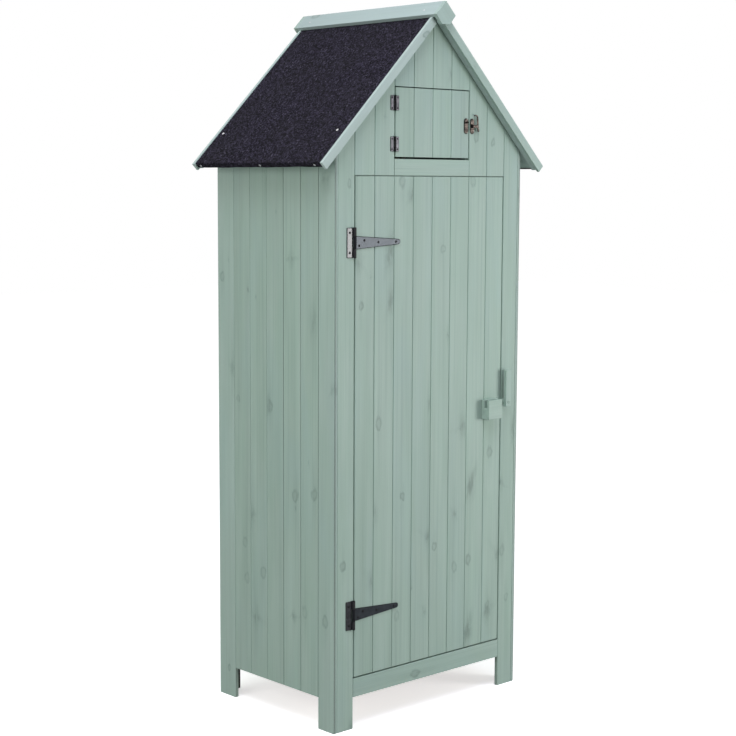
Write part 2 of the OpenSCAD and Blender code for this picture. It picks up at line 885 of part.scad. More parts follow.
// Outline of the hook as it lies when fastened, with the rivet at the origin.
module hook_shape() {
    difference() {
        union() {
            circle(r = hook_eye_r, $fn = 32);
            polygon([[-2.6, 0], [2.6, 0], [3, 12.4], [12, 15.5], [14.5, 19.5], [12.5, 21.5],
                [6, 19.6], [-2, 18], [-14, 17.6], [-24, 16.4], [-28.4, 12.5], [-29.6, 6],
                [-28.4, 2.6], [-26, 3], [-25.8, 7], [-24.2, 11.8], [-21.5, 12.6], [-4.6, 12.6]]);
        }
        circle(r = hook_pin_r + button_play, $fn = 32);
    }
}

// Hook arm, drawn swung clear of the catch.
module hook_arm() {
    color("Sienna") translate([hook_x, front_y - hook_boss - lift, hook_z]) rotate([90, 0, 0])
        linear_extrude(hook_t) rotate(-90) hook_shape();
}

// Screws of the catch plate and of the hook plate.
module plate_screws(x) {
    for (s = [-1, 1])
        screw(x, hook_z + s * hook_screw_z, front_y - hook_plate_t, small_screw_r,
            small_head_r, small_head_t, small_in + hook_plate_t);
}

module catch_screws() {
    color("Sienna") plate_screws(catch_x);
}

module hook_screws() {
    color("Sienna") plate_screws(hook_x);
}

front_stile_left();
front_stile_right();
front_rail();
gable_boards();
hatch_sill();
side_boards_left();
side_boards_right();
side_legs_left();
side_legs_right();
back_boards();
back_legs();
corner_posts();
side_battens();
head_batten();
back_battens();
door_stops();
hatch_stops();
floor_joists();
floor_boards();
shelf_battens();
shelf_lower();
shelf_upper();
loft_boards();
ridge_beam();
roof_boards_left();
roof_boards_right();
felt_left();
felt_right();
verge_battens();
bargeboard_front_left();
bargeboard_front_right();
bargeboard_back_left();
bargeboard_back_right();
ridge_cap_left();
ridge_cap_right();
ridge_ends();
roof_nails();
door_planks();
door_ledges();
door_braces();
hinge_leaves();
hinge_straps();
hinge_pins();
leaf_screws();
strap_screws_set();
latch_block();
button_pivot();
turn_button();
hatch_planks();
hatch_ledges();
hatch_fixed_leaves();
hatch_moving_leaves();
hatch_pins();
hatch_fixed_screws();
hatch_moving_screws();
hatch_catch();
hook_plate();
hook_arm();
catch_screws();
hook_screws();
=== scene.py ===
# %% [markdown]
# # A narrow garden tool shed
# The shed is almost all boards, so this lesson makes one good board first and then uses it
# everywhere. The exact solids come in as a fixed frame; every wooden piece is then dressed
# with a surface worked out in numpy that has eased edges and knows which way its grain runs.

import itertools
import bpy
import numpy as np
from mathutils import Matrix, Vector


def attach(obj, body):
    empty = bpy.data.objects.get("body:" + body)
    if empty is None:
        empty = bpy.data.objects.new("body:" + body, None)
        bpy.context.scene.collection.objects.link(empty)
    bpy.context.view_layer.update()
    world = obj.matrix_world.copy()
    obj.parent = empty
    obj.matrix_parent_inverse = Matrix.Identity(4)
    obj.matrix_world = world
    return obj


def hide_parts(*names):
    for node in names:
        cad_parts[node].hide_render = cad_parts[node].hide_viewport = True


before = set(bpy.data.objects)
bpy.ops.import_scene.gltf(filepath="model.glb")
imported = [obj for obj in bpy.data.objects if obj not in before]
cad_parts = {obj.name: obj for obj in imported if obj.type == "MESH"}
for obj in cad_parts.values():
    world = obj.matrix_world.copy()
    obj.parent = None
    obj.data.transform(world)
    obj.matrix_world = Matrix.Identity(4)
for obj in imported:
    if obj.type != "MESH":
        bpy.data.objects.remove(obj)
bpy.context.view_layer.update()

# %% [markdown]
# ## The camera
# A photograph is matched best by working out where the camera stood. The corners, feet and
# board joints of the shed fix its place, its direction and its focal length. Blender wants
# the lens in millimetres on a 36 mm sensor, so the focal length in pixels is scaled by it.

# %% Camera
IMAGE_PX, SENSOR_MM = 736, 36.0
FOCAL_PX = 1622.5
CENTRE_ROW_PX = 366.4
CAMERA_AT = Vector((-2.8812, -3.1164, 1.3440))
YAW, PITCH, ROLL = np.radians([42.688, -6.427, -0.242])

ahead = Vector((np.sin(YAW) * np.cos(PITCH), np.cos(YAW) * np.cos(PITCH), np.sin(PITCH)))
level = Vector((np.cos(YAW), -np.sin(YAW), 0.0))
down = ahead.cross(level)
right = level * float(np.cos(ROLL)) + down * float(np.sin(ROLL))
down = down * float(np.cos(ROLL)) - level * float(np.sin(ROLL))

lens = bpy.data.cameras.new("photo_camera")
lens.sensor_width = SENSOR_MM
lens.lens = FOCAL_PX * SENSOR_MM / IMAGE_PX
lens.shift_y = (CENTRE_ROW_PX - IMAGE_PX / 2) / IMAGE_PX
lens.clip_end = 100.0
camera = bpy.data.objects.new("photo_camera", lens)
turn = Matrix((right, -down, -ahead)).transposed()
camera.matrix_world = Matrix.Translation(CAMERA_AT) @ turn.to_4x4()
bpy.context.scene.collection.objects.link(camera)
bpy.context.scene.camera = camera
bpy.context.scene.view_settings.view_transform = "Standard"
print("lens:", round(lens.lens, 2), "mm")

# %% [markdown]
# ## Sizes
# The sizes are those of the shed itself, in millimetres: walls, door, hatch and roof. The
# rest is worked out from them. A name that ends in _S is a distance down the slope from
# the ridge. Everything is turned into metres in one place, where a mesh is made.

# %% Sizes of the walls
MM = 0.001
BODY_W, BODY_D, BOARD_T, DOOR_T = 652.0, 455.0, 10.0, 9.5
STILE_W, SIDE_LEG_W, BACK_LEG_W, LEG_H, POST = 54.0, 59.4, 50.0, 80.0, 22.0
BEVEL, GAP = 1.6, 0.3
BOARDS, SIDE_BOARDS, HATCH_BOARDS = 8, 5, 4
FRONT, BACK = -BODY_D / 2, BODY_D / 2
INNER_X, INNER_Y = BODY_W / 2 - BOARD_T, BODY_D / 2 - BOARD_T
POST_X, POST_Y = INNER_X - POST, INNER_Y - POST
OPEN_HALF, BACK_HALF = INNER_X - STILE_W, INNER_X - BACK_LEG_W
PITCH_W = 2 * OPEN_HALF / BOARDS
SIDE_PITCH = (BODY_D - SIDE_LEG_W) / (SIDE_BOARDS + 1)
X, Y, Z = np.eye(3)
print("board pitch:", PITCH_W, "front,", round(SIDE_PITCH, 2), "side")

# %% Sizes of the openings
TOTAL_H, GABLE_H, SILL_H, HATCH_H = 1790.0, 426.0, 40.5, 175.5
RAIL_H, FLOOR_UP = 47.5, 40.0
SIDE_GAP, END_GAP, HATCH_GAP = 2.5, 2.0, 3.5
DOOR_LOW, DOOR_TOP = LEG_H + RAIL_H, TOTAL_H - GABLE_H
HATCH_LOW = DOOR_TOP + SILL_H
HATCH_HIGH = HATCH_LOW + HATCH_H
HATCH_HALF = HATCH_BOARDS / 2 * PITCH_W
FLOOR_Z = LEG_H + FLOOR_UP
print("door:", DOOR_LOW, "to", DOOR_TOP, "hatch:", HATCH_LOW, "to", HATCH_HIGH)

# %% Sizes of the roof
ROOT2 = np.sqrt(2.0)
ROOF_HALF, CAP_HALF, EAVE_IN = 386.0, 34.0, 4.4
CAP_T, FELT_T, ROOF_T = 10.0, 2.0, 10.0
SOFFIT = FELT_T + ROOF_T
PEAK = TOTAL_H - CAP_T * ROOT2
SOFFIT_PEAK = PEAK - SOFFIT * ROOT2
VERGE_D, VERGE_GAP, BARGE_T, BARGE_W, BARGE_UP = 16.7, 2.5, 8.0, 21.5, 2.5
BARGE_LOW = BARGE_W - BARGE_UP
BARGE_END_S = ROOF_HALF * ROOT2
EAVE_S = BARGE_END_S - EAVE_IN
CAP_S = CAP_HALF * ROOT2 - CAP_T
CAP_END_T, CAP_OVER = 11.0, 6.8
ROOF_Y = BODY_D / 2 + VERGE_D
CAP_END_Y = ROOF_Y + BARGE_T + CAP_OVER
print("slope:", round(EAVE_S, 1), "down by", 2 * ROOF_Y, "along")

# %% [markdown]
# ## One board
# A real board has no razor edges: a plane or sandpaper eases each one. It could be a cube
# with a Bevel modifier, but then nothing would say where its length runs. Here a closed
# outline is carried along a line instead, and each point keeps its distance along the
# board, across it, and the board's own number. The paint and the grain read those three,
# and the places of up to four knots, which the board carries as well.

# %% Outlines
def eased(points, radius, steps=4):
    """Corners of a closed outline, each replaced by a short curve.
    The curve is (1-t)^2 A + 2t(1-t) P + t^2 B, where P is the corner and A and B lie on the
    two edges at the radius from it, or at 0.45 of the shorter edge where that is nearer.
    The second result is 4t(1-t), which is 1 on the corner."""
    p = np.asarray(points, float)
    before, after = np.roll(p, 1, 0) - p, np.roll(p, -1, 0) - p
    near = np.linalg.norm(before, axis=1, keepdims=True)
    far = np.linalg.norm(after, axis=1, keepdims=True)
    reach = np.minimum(np.asarray(radius, float).reshape(-1, 1), 0.45 * np.minimum(near, far))
    a, b = p + before / near * reach, p + after / far * reach
    t = np.linspace(0, 1, steps)[:, None, None]
    curve = (1 - t) ** 2 * a + 2 * t * (1 - t) * p + t ** 2 * b
    corner = np.broadcast_to(4 * t * (1 - t), curve.shape)[..., 0]
    return curve.transpose(1, 0, 2).reshape(-1, 2), corner.T.reshape(-1)


def inset(points, distance):
    """A closed outline with each edge moved inwards by the distance. A corner moves by
    d (m + n) / (1 + m.n), where m and n are the inward normals of its two edges."""
    p = np.asarray(points, float)
    nxt = np.roll(p, -1, 0)
    edge = (nxt - p) / np.linalg.norm(nxt - p, axis=1, keepdims=True)
    area = (p[:, 0] * nxt[:, 1] - nxt[:, 0] * p[:, 1]).sum()
    n = np.stack([-edge[:, 1], edge[:, 0]], 1) * np.sign(area)
    m = np.roll(n, 1, 0)
    return p + distance * (m + n) / (1 + (m * n).sum(1, keepdims=True))


# %% Knots of a board
KNOTS = ("knot_1", "knot_2", "knot_3", "knot_4")
CLEAR_LENGTH, FULL_LENGTH, MOST_LIKELY = 120.0, 1000.0, 0.95
FACE_SHARE, SMUDGE_SHARE = 0.45, 0.40
chance = np.random.default_rng(7)


def knots_in(low, high, width):
    """The knots of a board, about one in 350 mm: distance along it, place across it and
    radius, in metres. A face knot has a radius over zero, 6.5 to 10.5 mm, and a smudge one
    under zero, 8 to 19 mm. A smudge lies near an edge more often, where a branch ran out of
    the board, and a few are only specks of 3 mm. A short board has no knots."""
    length = high - low
    spots = np.zeros((len(KNOTS), 3))
    for spot in spots:
        if length > CLEAR_LENGTH and chance.random() < min(MOST_LIKELY, length / FULL_LENGTH):
            along, side, kind, size = chance.random(4)
            spot[0] = low + along * length
            if kind < FACE_SHARE:
                spot[1:] = (0.2 + 0.6 * side) * width, 6.5 + 4.0 * size
            elif kind < FACE_SHARE + SMUDGE_SHARE:
                spot[1:] = np.clip(1.6 * side - 0.3, 0.05, 0.95) * width, -8.0 - 11.0 * size
            else:
                spot[1:] = side * width, -3.0
    return spots * MM


# %% A carried outline
board_numbers = itertools.count(1)
BOARD_STEP, LEAST_RADIUS = 0.37, 0.05


def carry(points, start, across, deep, along, low, high, radius=0.7, ease=0.7, painted_light=1.0,
          rim=0.0):
    """A closed outline carried along a straight line, with eased ends.
    Point = start + x across + y deep + s along. s runs from low to high, which may be one
    number or one for each corner, as where an end is cut on the slant. Near an end the
    outline draws in by ease (1 - sin a) while s moves by ease (1 - cos a), a from 0 to 90,
    and the radius of its corners shrinks as much.
    Each corner also carries a number of painted light: 1 is a painted highlight on a corner
    that light catches, -1 painted shade down in a joint and -2 painted shade on a face in
    shadow. Past -1 it holds all over the rounding and doesn't fade to its sides.
    Each outline has its own number, which sets its pattern apart by one BOARD_STEP.
    A rim adds a last ring that far inside the outline, so that a border can be told from
    the middle."""
    outline, corner = eased(points, radius)
    steps = len(outline) // len(points)
    low, high, painted_light = [np.repeat(np.broadcast_to(np.asarray(v, float), len(points)), steps)
                       for v in (low, high, painted_light)]
    corner = np.where(painted_light < -1, 1.0, corner) * painted_light
    a = np.linspace(0, np.pi / 2, 4)
    draw, step = ease * (1 - np.sin(a)), ease * (1 - np.cos(a))
    s = np.concatenate([low + step[:, None], high - step[::-1, None]])
    draw = np.concatenate([draw, draw[::-1]])
    if rim:
        s, draw = np.concatenate([s, s[-1:]]), np.append(draw, draw[-1] + rim)
    tight = [np.maximum(np.asarray(radius, float) - d, LEAST_RADIUS) for d in draw]
    xy = np.stack([eased(inset(points, d), r)[0] for d, r in zip(draw, tight)])
    place = start + xy[..., :1] * across + xy[..., 1:] * deep + s[..., None] * along
    own = next(board_numbers) * BOARD_STEP
    marks = {"edge": np.broadcast_to(corner[None, :], s.shape),
             "grain": np.stack([s * MM, (xy[..., 0] + xy[..., 1]) * MM,
                                np.full(s.shape, own)], -1)}
    if rim:
        marks["rim"] = np.ones(s.shape)
        marks["rim"][-1] = 0.0
        return place, marks
    spots = knots_in(low.min(), high.max(), np.ptp(outline[:, 0]))
    spots[:, 1] += (outline[:, 0].min() + outline[:, 1].min()) * MM
    for key, spot in zip(KNOTS, spots):
        marks[key] = np.broadcast_to(spot, (*s.shape, 3))
    return place, marks


# %% Faces and meshes
def shell(rings):
    """Faces of a stack of closed rings: a square between each four neighbours, and one
    face over each end. They are turned round if the enclosed volume comes out negative."""
    rows, ring = rings.shape[:2]
    i = np.arange(rows * ring).reshape(rows, ring)
    j = np.roll(i, -1, 1)
    quads = np.stack([i[:-1], j[:-1], j[1:], i[1:]], -1).reshape(-1, 4)
    v = rings.reshape(-1, 3) - rings.reshape(-1, 3).mean(0)
    tri = np.concatenate([quads[:, [0, 1, 2]], quads[:, [0, 2, 3]]])
    last, first = i[-1], i[0][::-1]
    for cap in (last, first):
        fan = np.stack([np.full(ring - 2, cap[0]), cap[1:-1], cap[2:]], 1)
        tri = np.concatenate([tri, fan])
    volume = np.einsum("ij,ij->i", v[tri[:, 0]], np.cross(v[tri[:, 1]], v[tri[:, 2]])).sum()
    faces = quads.tolist() + [last.tolist(), first.tolist()]
    return faces if volume > 0 else [f[::-1] for f in faces]


def make(name, parts, body, material, stands_for, smooth=False):
    """Joins the stacks of rings of one piece into a mesh in metres, paints it, and lets it
    ride on its body in place of a node. On a smooth piece the faces over the ends stay
    flat."""
    verts, faces, base = [], [], 0
    for place, marks in parts:
        faces += [[k + base for k in f] for f in shell(place)]
        verts.append(place.reshape(-1, 3) * MM)
        base += len(verts[-1])
    mesh = bpy.data.meshes.new(name)
    mesh.from_pydata(np.concatenate(verts), [], faces)
    shared = [key for key in parts[0][1] if all(key in marks for place, marks in parts)]
    for key in shared:
        values = np.concatenate([np.ravel(marks[key]) for place, marks in parts])
        plain = key in ("edge", "rim")
        kind, field = ("FLOAT", "value") if plain else ("FLOAT_VECTOR", "vector")
        layer = mesh.attributes.new(key, kind, "POINT")
        layer.data.foreach_set(field, values.astype(np.float32))
    if smooth:
        mesh.shade_smooth()
        mesh.set_sharp_from_angle(angle=np.radians(40))
        flat = mesh.attributes.get("sharp_face") or mesh.attributes.new(
            "sharp_face", "BOOLEAN", "FACE")
        flat.data.foreach_set("value", [len(f) > 4 for f in faces])
    mesh.materials.append(material)
    obj = bpy.data.objects.new(name, mesh)
    bpy.context.scene.collection.objects.link(obj)
    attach(obj, body)
    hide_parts(stands_for)


# %% [markdown]
# ## Shader maths
# A node tree is easier to read as arithmetic. The small class below wraps a socket, so
# that a + b or 1 - a adds the Math node for it. Colours and vectors can't go through a
# Math node, which turns them grey, so they have their own Mix and Vector Math helpers.

# %% Sockets
class Signal:
    """A socket of the material being made. Arithmetic on it adds Math nodes."""

    def __init__(self, sheet, socket):
        self.sheet = sheet
        self.socket = socket

    def __add__(self, other):
        return self.sheet.maths("ADD", self, other)

    def __radd__(self, other):
        return self.sheet.maths("ADD", other, self)

    def __sub__(self, other):
        return self.sheet.maths("SUBTRACT", self, other)

    def __rsub__(self, other):
        return self.sheet.maths("SUBTRACT", other, self)

    def __mul__(self, other):
        return self.sheet.maths("MULTIPLY", self, other)

    def __rmul__(self, other):
        return self.sheet.maths("MULTIPLY", other, self)

    def __pow__(self, other):
        return self.sheet.maths("POWER", self, other)


# %% Nodes
class Sheet:
    """The node tree of one material, with its Principled shader."""

    def __init__(self, name):
        self.material = bpy.data.materials.new(name)
        self.material.use_nodes = True
        self.tree = self.material.node_tree
        self.shader = self.tree.nodes["Principled BSDF"]

    def put(self, node, values):
        """Links or sets sockets of a node, each by its name or its number."""
        for key, value in values.items():
            if isinstance(value, Signal):
                self.tree.links.new(value.socket, node.inputs[key])
            else:
                node.inputs[key].default_value = value

    def node(self, kind, settings=None, values=None, out=0):
        """Adds a node: first its settings, then the values or links of its sockets."""
        made = self.tree.nodes.new(kind)
        for key, value in (settings or {}).items():
            setattr(made, key, value)
        self.put(made, values or {})
        return Signal(self, made.outputs[out])

    def maths(self, operation, a, b=0.0):
        return self.node("ShaderNodeMath", {"operation": operation}, {0: a, 1: b})

    def vector(self, operation, a, b):
        return self.node("ShaderNodeVectorMath", {"operation": operation}, {0: a, 1: b})

    def stretch(self, vector, scales):
        """A vector multiplied part by part, which squeezes a pattern along each axis."""
        return self.vector("MULTIPLY", vector, scales)

    def length(self, vector):
        return self.node("ShaderNodeVectorMath", {"operation": "LENGTH"}, {0: vector}, out=1)

    def mark(self, name, out=1):
        """What a mesh carries under a name. Output 1 is a vector and output 2 a number."""
        return self.node("ShaderNodeAttribute", {"attribute_name": name}, out=out)

    def place(self):
        """Object coordinates, in metres."""
        return self.node("ShaderNodeTexCoord", out=3)

    def split(self, colour):
        """The three channels of a colour."""
        return [self.node("ShaderNodeSeparateColor", None, {0: colour}, out=k) for k in range(3)]

    def mix(self, factor, a, b, blend="MIX"):
        """A colour between a and b. Sockets 6 and 7 are the node's two colours."""
        a, b = [c if isinstance(c, Signal) else (*c, 1.0) for c in (a, b)]
        return self.node("ShaderNodeMix", {"data_type": "RGBA", "blend_type": blend},
                         {0: factor, 6: a, 7: b}, out=2)

    def noise(self, vector, scale, detail=2.0, rough=0.5, bend=0.0):
        return self.node("ShaderNodeTexNoise", None, {
            "Vector": vector, "Scale": scale, "Detail": detail, "Roughness": rough,
            "Distortion": bend})

    def stripes(self, vector, scales, *more):
        """Noise squeezed by another scale along each axis."""
        return self.noise(self.stretch(vector, scales), 1.0, *more)

    def span(self, value, low, high, to_low=0.0, to_high=1.0):
        """Maps low..high to to_low..to_high with soft ends."""
        return self.node("ShaderNodeMapRange", {"interpolation_type": "SMOOTHSTEP"}, {
            "Value": value, "From Min": low, "From Max": high, "To Min": to_low,
            "To Max": to_high})

    def finish(self, colour, roughness, height, depth, strength, **fixed):
        """Feeds the shader its colour, its roughness and a bump, whose depth is in metres.
        What is the same all over a surface is set on the shader's own socket."""
        bump = self.node("ShaderNodeBump", None,
                         {"Height": height, "Strength": strength, "Distance": depth})
        self.put(self.shader, {"Base Color": colour, "Roughness": roughness, "Normal": bump})
        self.put(self.shader, {key.replace("_", " "): value for key, value in fixed.items()})
        return self.material


# %% [markdown]
# ## Paint
# The shed wears a thin satin paint of a soft grey green. On real softwood such a paint
# still shows the boards: knots stand out as faint ovals, the fibres leave fine streaks,
# and each board takes the colour a little differently. The pattern follows the board's
# own length, so it is stretched along the grain and squeezed across it. There are four
# mixes of the paint: one for the walls, a paler and bluer one for the trim of the roof,
# one for the ridge cap, and one a little paler than the walls for the side legs and the
# ends of the cap. The roof boards and verge battens take the paler trim mix as painted
# light, which lifts their undersides out of the shade, and the right bargeboard of the
# front takes the mix of the side legs, deeper than the trim, as painted shade.

# %% Knots in the paint
def knot_fields(sheet, warped):
    """The knots of a board as three fields: the dark ring of a face knot, more or less
    hollow, the smudge and branch of a side knot, and the streaks along the grain.
    d is the distance from the middle of the knot over its radius. It counts less along
    the grain, so that a circle becomes an oval, and far less for the streaks."""
    total = None
    for key in KNOTS:
        spot = sheet.mark(key)
        radius = sheet.node("ShaderNodeSeparateXYZ", None, {0: spot}, out=2)
        own = sheet.node("ShaderNodeTexWhiteNoise", {"noise_dimensions": "3D"}, {"Vector": spot})
        face = sheet.maths("GREATER_THAN", radius, 0.0)
        over = (sheet.maths("ABSOLUTE", radius) + 1e-5) ** -1.0
        away = sheet.vector("SUBTRACT", warped, spot)
        slanted = sheet.node("ShaderNodeVectorRotate", {"rotation_type": "Z_AXIS"},
                             {"Vector": away, "Angle": own * 3.1})

        def distance(where, along, across):
            return over * sheet.length(sheet.stretch(where, (along, across, 0.0)))

        d = distance(away, 0.68, 1.0)
        ring = sheet.span(d, 1.35, 0.75) * (1.0 - sheet.span(d, 0.9, 0.3) * (0.9 - own * 0.5))
        smudge = sheet.span(distance(away, 0.5, 1.0), 1.6, 0.1)
        branch = sheet.span(distance(slanted, 0.32, 2.0), 1.7, 0.2)
        streak = sheet.span(distance(away, 0.16, 1.5), 1.9, 0.2)
        force = 0.4 + own * 0.6
        parts = [face * ring * force, (1.0 - face) * (smudge + branch * 0.8) * force,
                 streak * force]
        total = parts if total is None else [p + q for p, q in zip(total, parts)]
    return total


# %% Painted boards
KNOT_TONE = (0.142, 0.206, 0.174)


def painted(name, light, deep, cool):
    """A paint between a light and a deep tone, with a cool wash here and there. Its noises
    are stretched along the board: cloud and wash change the colour, and band, vein and
    fibre are ever finer stripes, which bend round the knots. Each board has its own depth
    and tint, and its own depth of painted shade in the joints. Edges that light catches get a
    painted highlight, and faces in shadow are painted nearly black, as painted shade."""
    sheet = Sheet(name)
    grain, edge = sheet.mark("grain"), sheet.mark("edge", 2)
    number = sheet.node("ShaderNodeSeparateXYZ", None, {0: grain}, out=2)
    depth, tint, joint = sheet.split(
        sheet.node("ShaderNodeTexWhiteNoise", {"noise_dimensions": "1D"}, {"W": number}, out=1))
    stir = sheet.node("ShaderNodeTexNoise", None, {
        "Vector": sheet.stretch(grain, (38.0, 70.0, 5.0)), "Scale": 1.0, "Detail": 3.0}, out=1)
    stir = sheet.vector("SUBTRACT", stir, (0.5, 0.5, 0.5))
    warped = sheet.vector("ADD", grain, sheet.stretch(stir, (0.026, 0.013, 0.0)))
    ring, smudge, streak = knot_fields(sheet, warped)
    push = sheet.node("ShaderNodeCombineXYZ", None, {1: (streak + ring) * 0.004})
    bent = sheet.vector("ADD", grain, push)

    cloud = sheet.stripes(grain, (3.6, 15.0, 7.0), 3.0, 0.55, 0.4)
    wash = sheet.stripes(grain, (2.2, 8.0, 11.0), 2.0, 0.5, 0.8)
    band = sheet.stripes(bent, (2.2, 32.0, 5.0))
    vein = sheet.stripes(bent, (1.4, 120.0, 5.0))
    fibre = sheet.stripes(bent, (4.0, 560.0, 3.0), 3.0, 0.6)
    feather = sheet.stripes(warped, (26.0, 120.0, 5.0), 3.0, 0.65)
    smudge = smudge * sheet.span(feather, 0.30, 0.62, 0.35, 1.25)
    ring = ring * sheet.span(feather, 0.25, 0.60, 0.45, 1.1)

    tone = sheet.mix(sheet.span(cloud, 0.32, 0.68) * 0.8 + tint * 0.2, light, deep)
    tone = sheet.mix(sheet.span(wash, 0.45, 0.72) * 0.5, tone, cool)
    tone = sheet.mix(sheet.span(vein, 0.56, 0.74) * 0.15, tone, KNOT_TONE)
    tone = sheet.mix(streak * 0.14 + smudge * 0.36, tone, KNOT_TONE)
    tone = sheet.mix(ring * 0.66, tone, KNOT_TONE)
    level = sheet.span(fibre, 0.3, 0.7, 0.955, 1.03) * (0.955 + depth * 0.07)
    level = level + (band - 0.5) * 0.20 - (vein - 0.5) * 0.10
    # Painted shade in the joints, deeper on some boards than others; painted shade, nearly black,
    # on faces in shadow; and a painted highlight on edges that light catches.
    level = level * (1.0 - sheet.span(edge, -0.15, -1.0) * (joint - 0.25))
    level = level * (1.0 - sheet.span(edge, -1.2, -2.0) * 0.85)
    level = level + sheet.span(edge, 0.3, 1.0) * 0.06
    grey = sheet.node("ShaderNodeCombineColor", None, {0: level, 1: level, 2: level})
    tone = sheet.mix(1.0, tone, grey, "MULTIPLY")
    height = fibre * 0.6 + vein * 0.3 + ring * 0.5
    return sheet.finish(tone, 0.5 + fibre * 0.12, height, 0.00015, 0.35)


paint = painted("wall_paint", (0.318, 0.423, 0.367), (0.288, 0.403, 0.338), (0.296, 0.410, 0.376))
pale_paint = painted("pale_paint", (0.338, 0.442, 0.392), (0.306, 0.420, 0.362),
                     (0.314, 0.430, 0.396))
trim_paint = painted("trim_paint", (0.398, 0.494, 0.466), (0.363, 0.464, 0.428),
                     (0.368, 0.470, 0.452))
cap_paint = painted("cap_paint", (0.366, 0.456, 0.445), (0.334, 0.428, 0.408),
                    (0.339, 0.434, 0.430))
print("paint nodes:", len(paint.node_tree.nodes))

# %% [markdown]
# Inside the door the timber is bare softwood. Its growth rings show as darker latewood
# lines along the board, so the rings are a wave across the board that noise has bent.

# %% Bare wood
def bare_timber(name, early, late, knot_tone):
    sheet = Sheet(name)
    grain = sheet.mark("grain")
    bent = sheet.stripes(grain, (2.5, 22.0, 6.0))
    across = sheet.node("ShaderNodeSeparateXYZ", None, {0: grain}, out=1)
    ring = sheet.maths("SINE", across * 900.0 + bent * 38.0)
    fibre = sheet.stripes(grain, (12.0, 700.0, 3.0), 3.0, 0.6)
    near = sheet.node("ShaderNodeTexVoronoi", {"feature": "F1"}, {
        "Vector": sheet.stretch(grain, (4.0, 12.0, 9.0)), "Scale": 1.0, "Randomness": 1.0})
    tone = sheet.mix(sheet.span(ring, -0.4, 1.0) * 0.55, early, late)
    tone = sheet.mix(sheet.span(fibre, 0.35, 0.7) * 0.25, tone, late)
    tone = sheet.mix(sheet.span(near, 0.16, 0.07) * 0.8, tone, knot_tone)
    return sheet.finish(tone, 0.62 + fibre * 0.15, fibre * 0.6 + ring * 0.15, 0.00015, 0.3)


bare = bare_timber("bare_softwood", (0.66, 0.46, 0.27), (0.48, 0.28, 0.13), (0.20, 0.09, 0.035))

# %% [markdown]
# ## Felt and metals
# Mineral felt is a bitumen sheet rolled with crushed slate: nearly black, with a violet
# cast and single lighter grains, which are also painted glints. The grains are random
# cells about three millimetres wide, each with its own shade, hue and brightness. The
# metals differ in their colour and in how rough they are.

# %% Roofing felt
def mineral_felt(name):
    sheet = Sheet(name)
    place = sheet.place()
    shade, hue, bright = sheet.split(
        sheet.node("ShaderNodeTexVoronoi", {"feature": "F1"},
                   {"Vector": place, "Scale": 320.0, "Randomness": 1.0}, out=1))
    coarse = sheet.noise(place, 150.0, 3.0, 0.75)
    patch = sheet.noise(place, 9.0)
    tone = sheet.mix(sheet.span(shade, 0.2, 1.0), (0.001, 0.001, 0.002), (0.042, 0.038, 0.060))
    tone = sheet.mix(sheet.span(hue, 0.5, 1.0) * 0.5, tone, (0.021, 0.016, 0.030))
    tone = sheet.mix(sheet.span(coarse, 0.50, 0.36) * 0.7, tone, (0.001, 0.001, 0.002))
    # A few grains much lighter: lighter slate, and painted glints as well.
    tone = sheet.mix(sheet.span(bright, 0.955, 0.995) * 0.45, tone, (0.14, 0.13, 0.18))
    tone = sheet.mix(sheet.span(patch, 0.3, 0.7) * 0.2, tone, (0.014, 0.014, 0.014))
    return sheet.finish(tone, 0.95, shade + coarse, 0.0008, 0.8, Specular_IOR_Level=0.1)


felt = mineral_felt("mineral_felt")


# %% Metals
def metal(name, tone, worn, roughness, metallic, scale=90.0, **fixed):
    """A metal whose tone drifts between two colours, with a faint unevenness. Its border is
    painted dark and made dull, as painted shade for the dark outline of its rolled edge."""
    sheet = Sheet(name)
    cloud = sheet.noise(sheet.place(), scale, 3.0, 0.6)
    border = sheet.span(sheet.mark("rim", 2), 0.25, 0.9)
    colour = sheet.mix(sheet.span(cloud, 0.35, 0.7), tone, worn)
    # The border painted near black: painted shade.
    colour = sheet.mix(border * 0.7, colour, (0.004, 0.004, 0.005))
    return sheet.finish(colour, roughness + cloud * 0.1 + border * 0.6, cloud, 0.0001, 0.25,
                        Metallic=metallic, **fixed)


black_steel = metal("black_steel", (0.035, 0.040, 0.046), (0.047, 0.053, 0.060), 0.16, 0.3,
                    Specular_IOR_Level=0.10)
leaf_steel = metal("leaf_steel", (0.012, 0.013, 0.015), (0.03, 0.031, 0.036), 0.10, 0.0,
                   Specular_IOR_Level=0.42)
dark_screw = metal("dark_screw", (0.004, 0.004, 0.005), (0.010, 0.010, 0.012), 0.55, 0.0,
                   Specular_IOR_Level=0.2)
browned = metal("browned_steel", (0.08, 0.080, 0.088), (0.14, 0.138, 0.152), 0.30, 0.9)
bronze = metal("dark_bronze", (0.045, 0.036, 0.032), (0.17, 0.140, 0.122), 0.22, 0.95, 160.0)
bright_nail = metal("bright_nail", (0.55, 0.55, 0.57), (0.7, 0.7, 0.72), 0.25, 0.95)

# %% [markdown]
# ## Walls
# The walls are rows of upright boards whose edges are bevelled, so that two neighbours
# make a small V between them. The tops are cut along the slope of the roof: a board's
# length then depends on where a corner of its outline lies across the shed.

# %% Upright boards
# A height over any roof, for a board that ends under the slope
TO_ROOF = 9999.0
# Painted light at the six corners of an outline: 1 is a painted highlight on an edge that light
# catches, a value below zero is painted shade down in a joint, deeper at the side walls, and -2 is
# painted shade on the shadowed inner face of a back leg.
JOINT_PAINTED_LIGHT = [1, 1, -0.6, 0, 0, -0.6]
SIDE_JOINT_PAINTED_LIGHT = [1, 1, -1.5, 0, 0, -1.5]
SHADED_FACE_PAINTED_LIGHT = [1, 1, -1, -2, -2, -1]


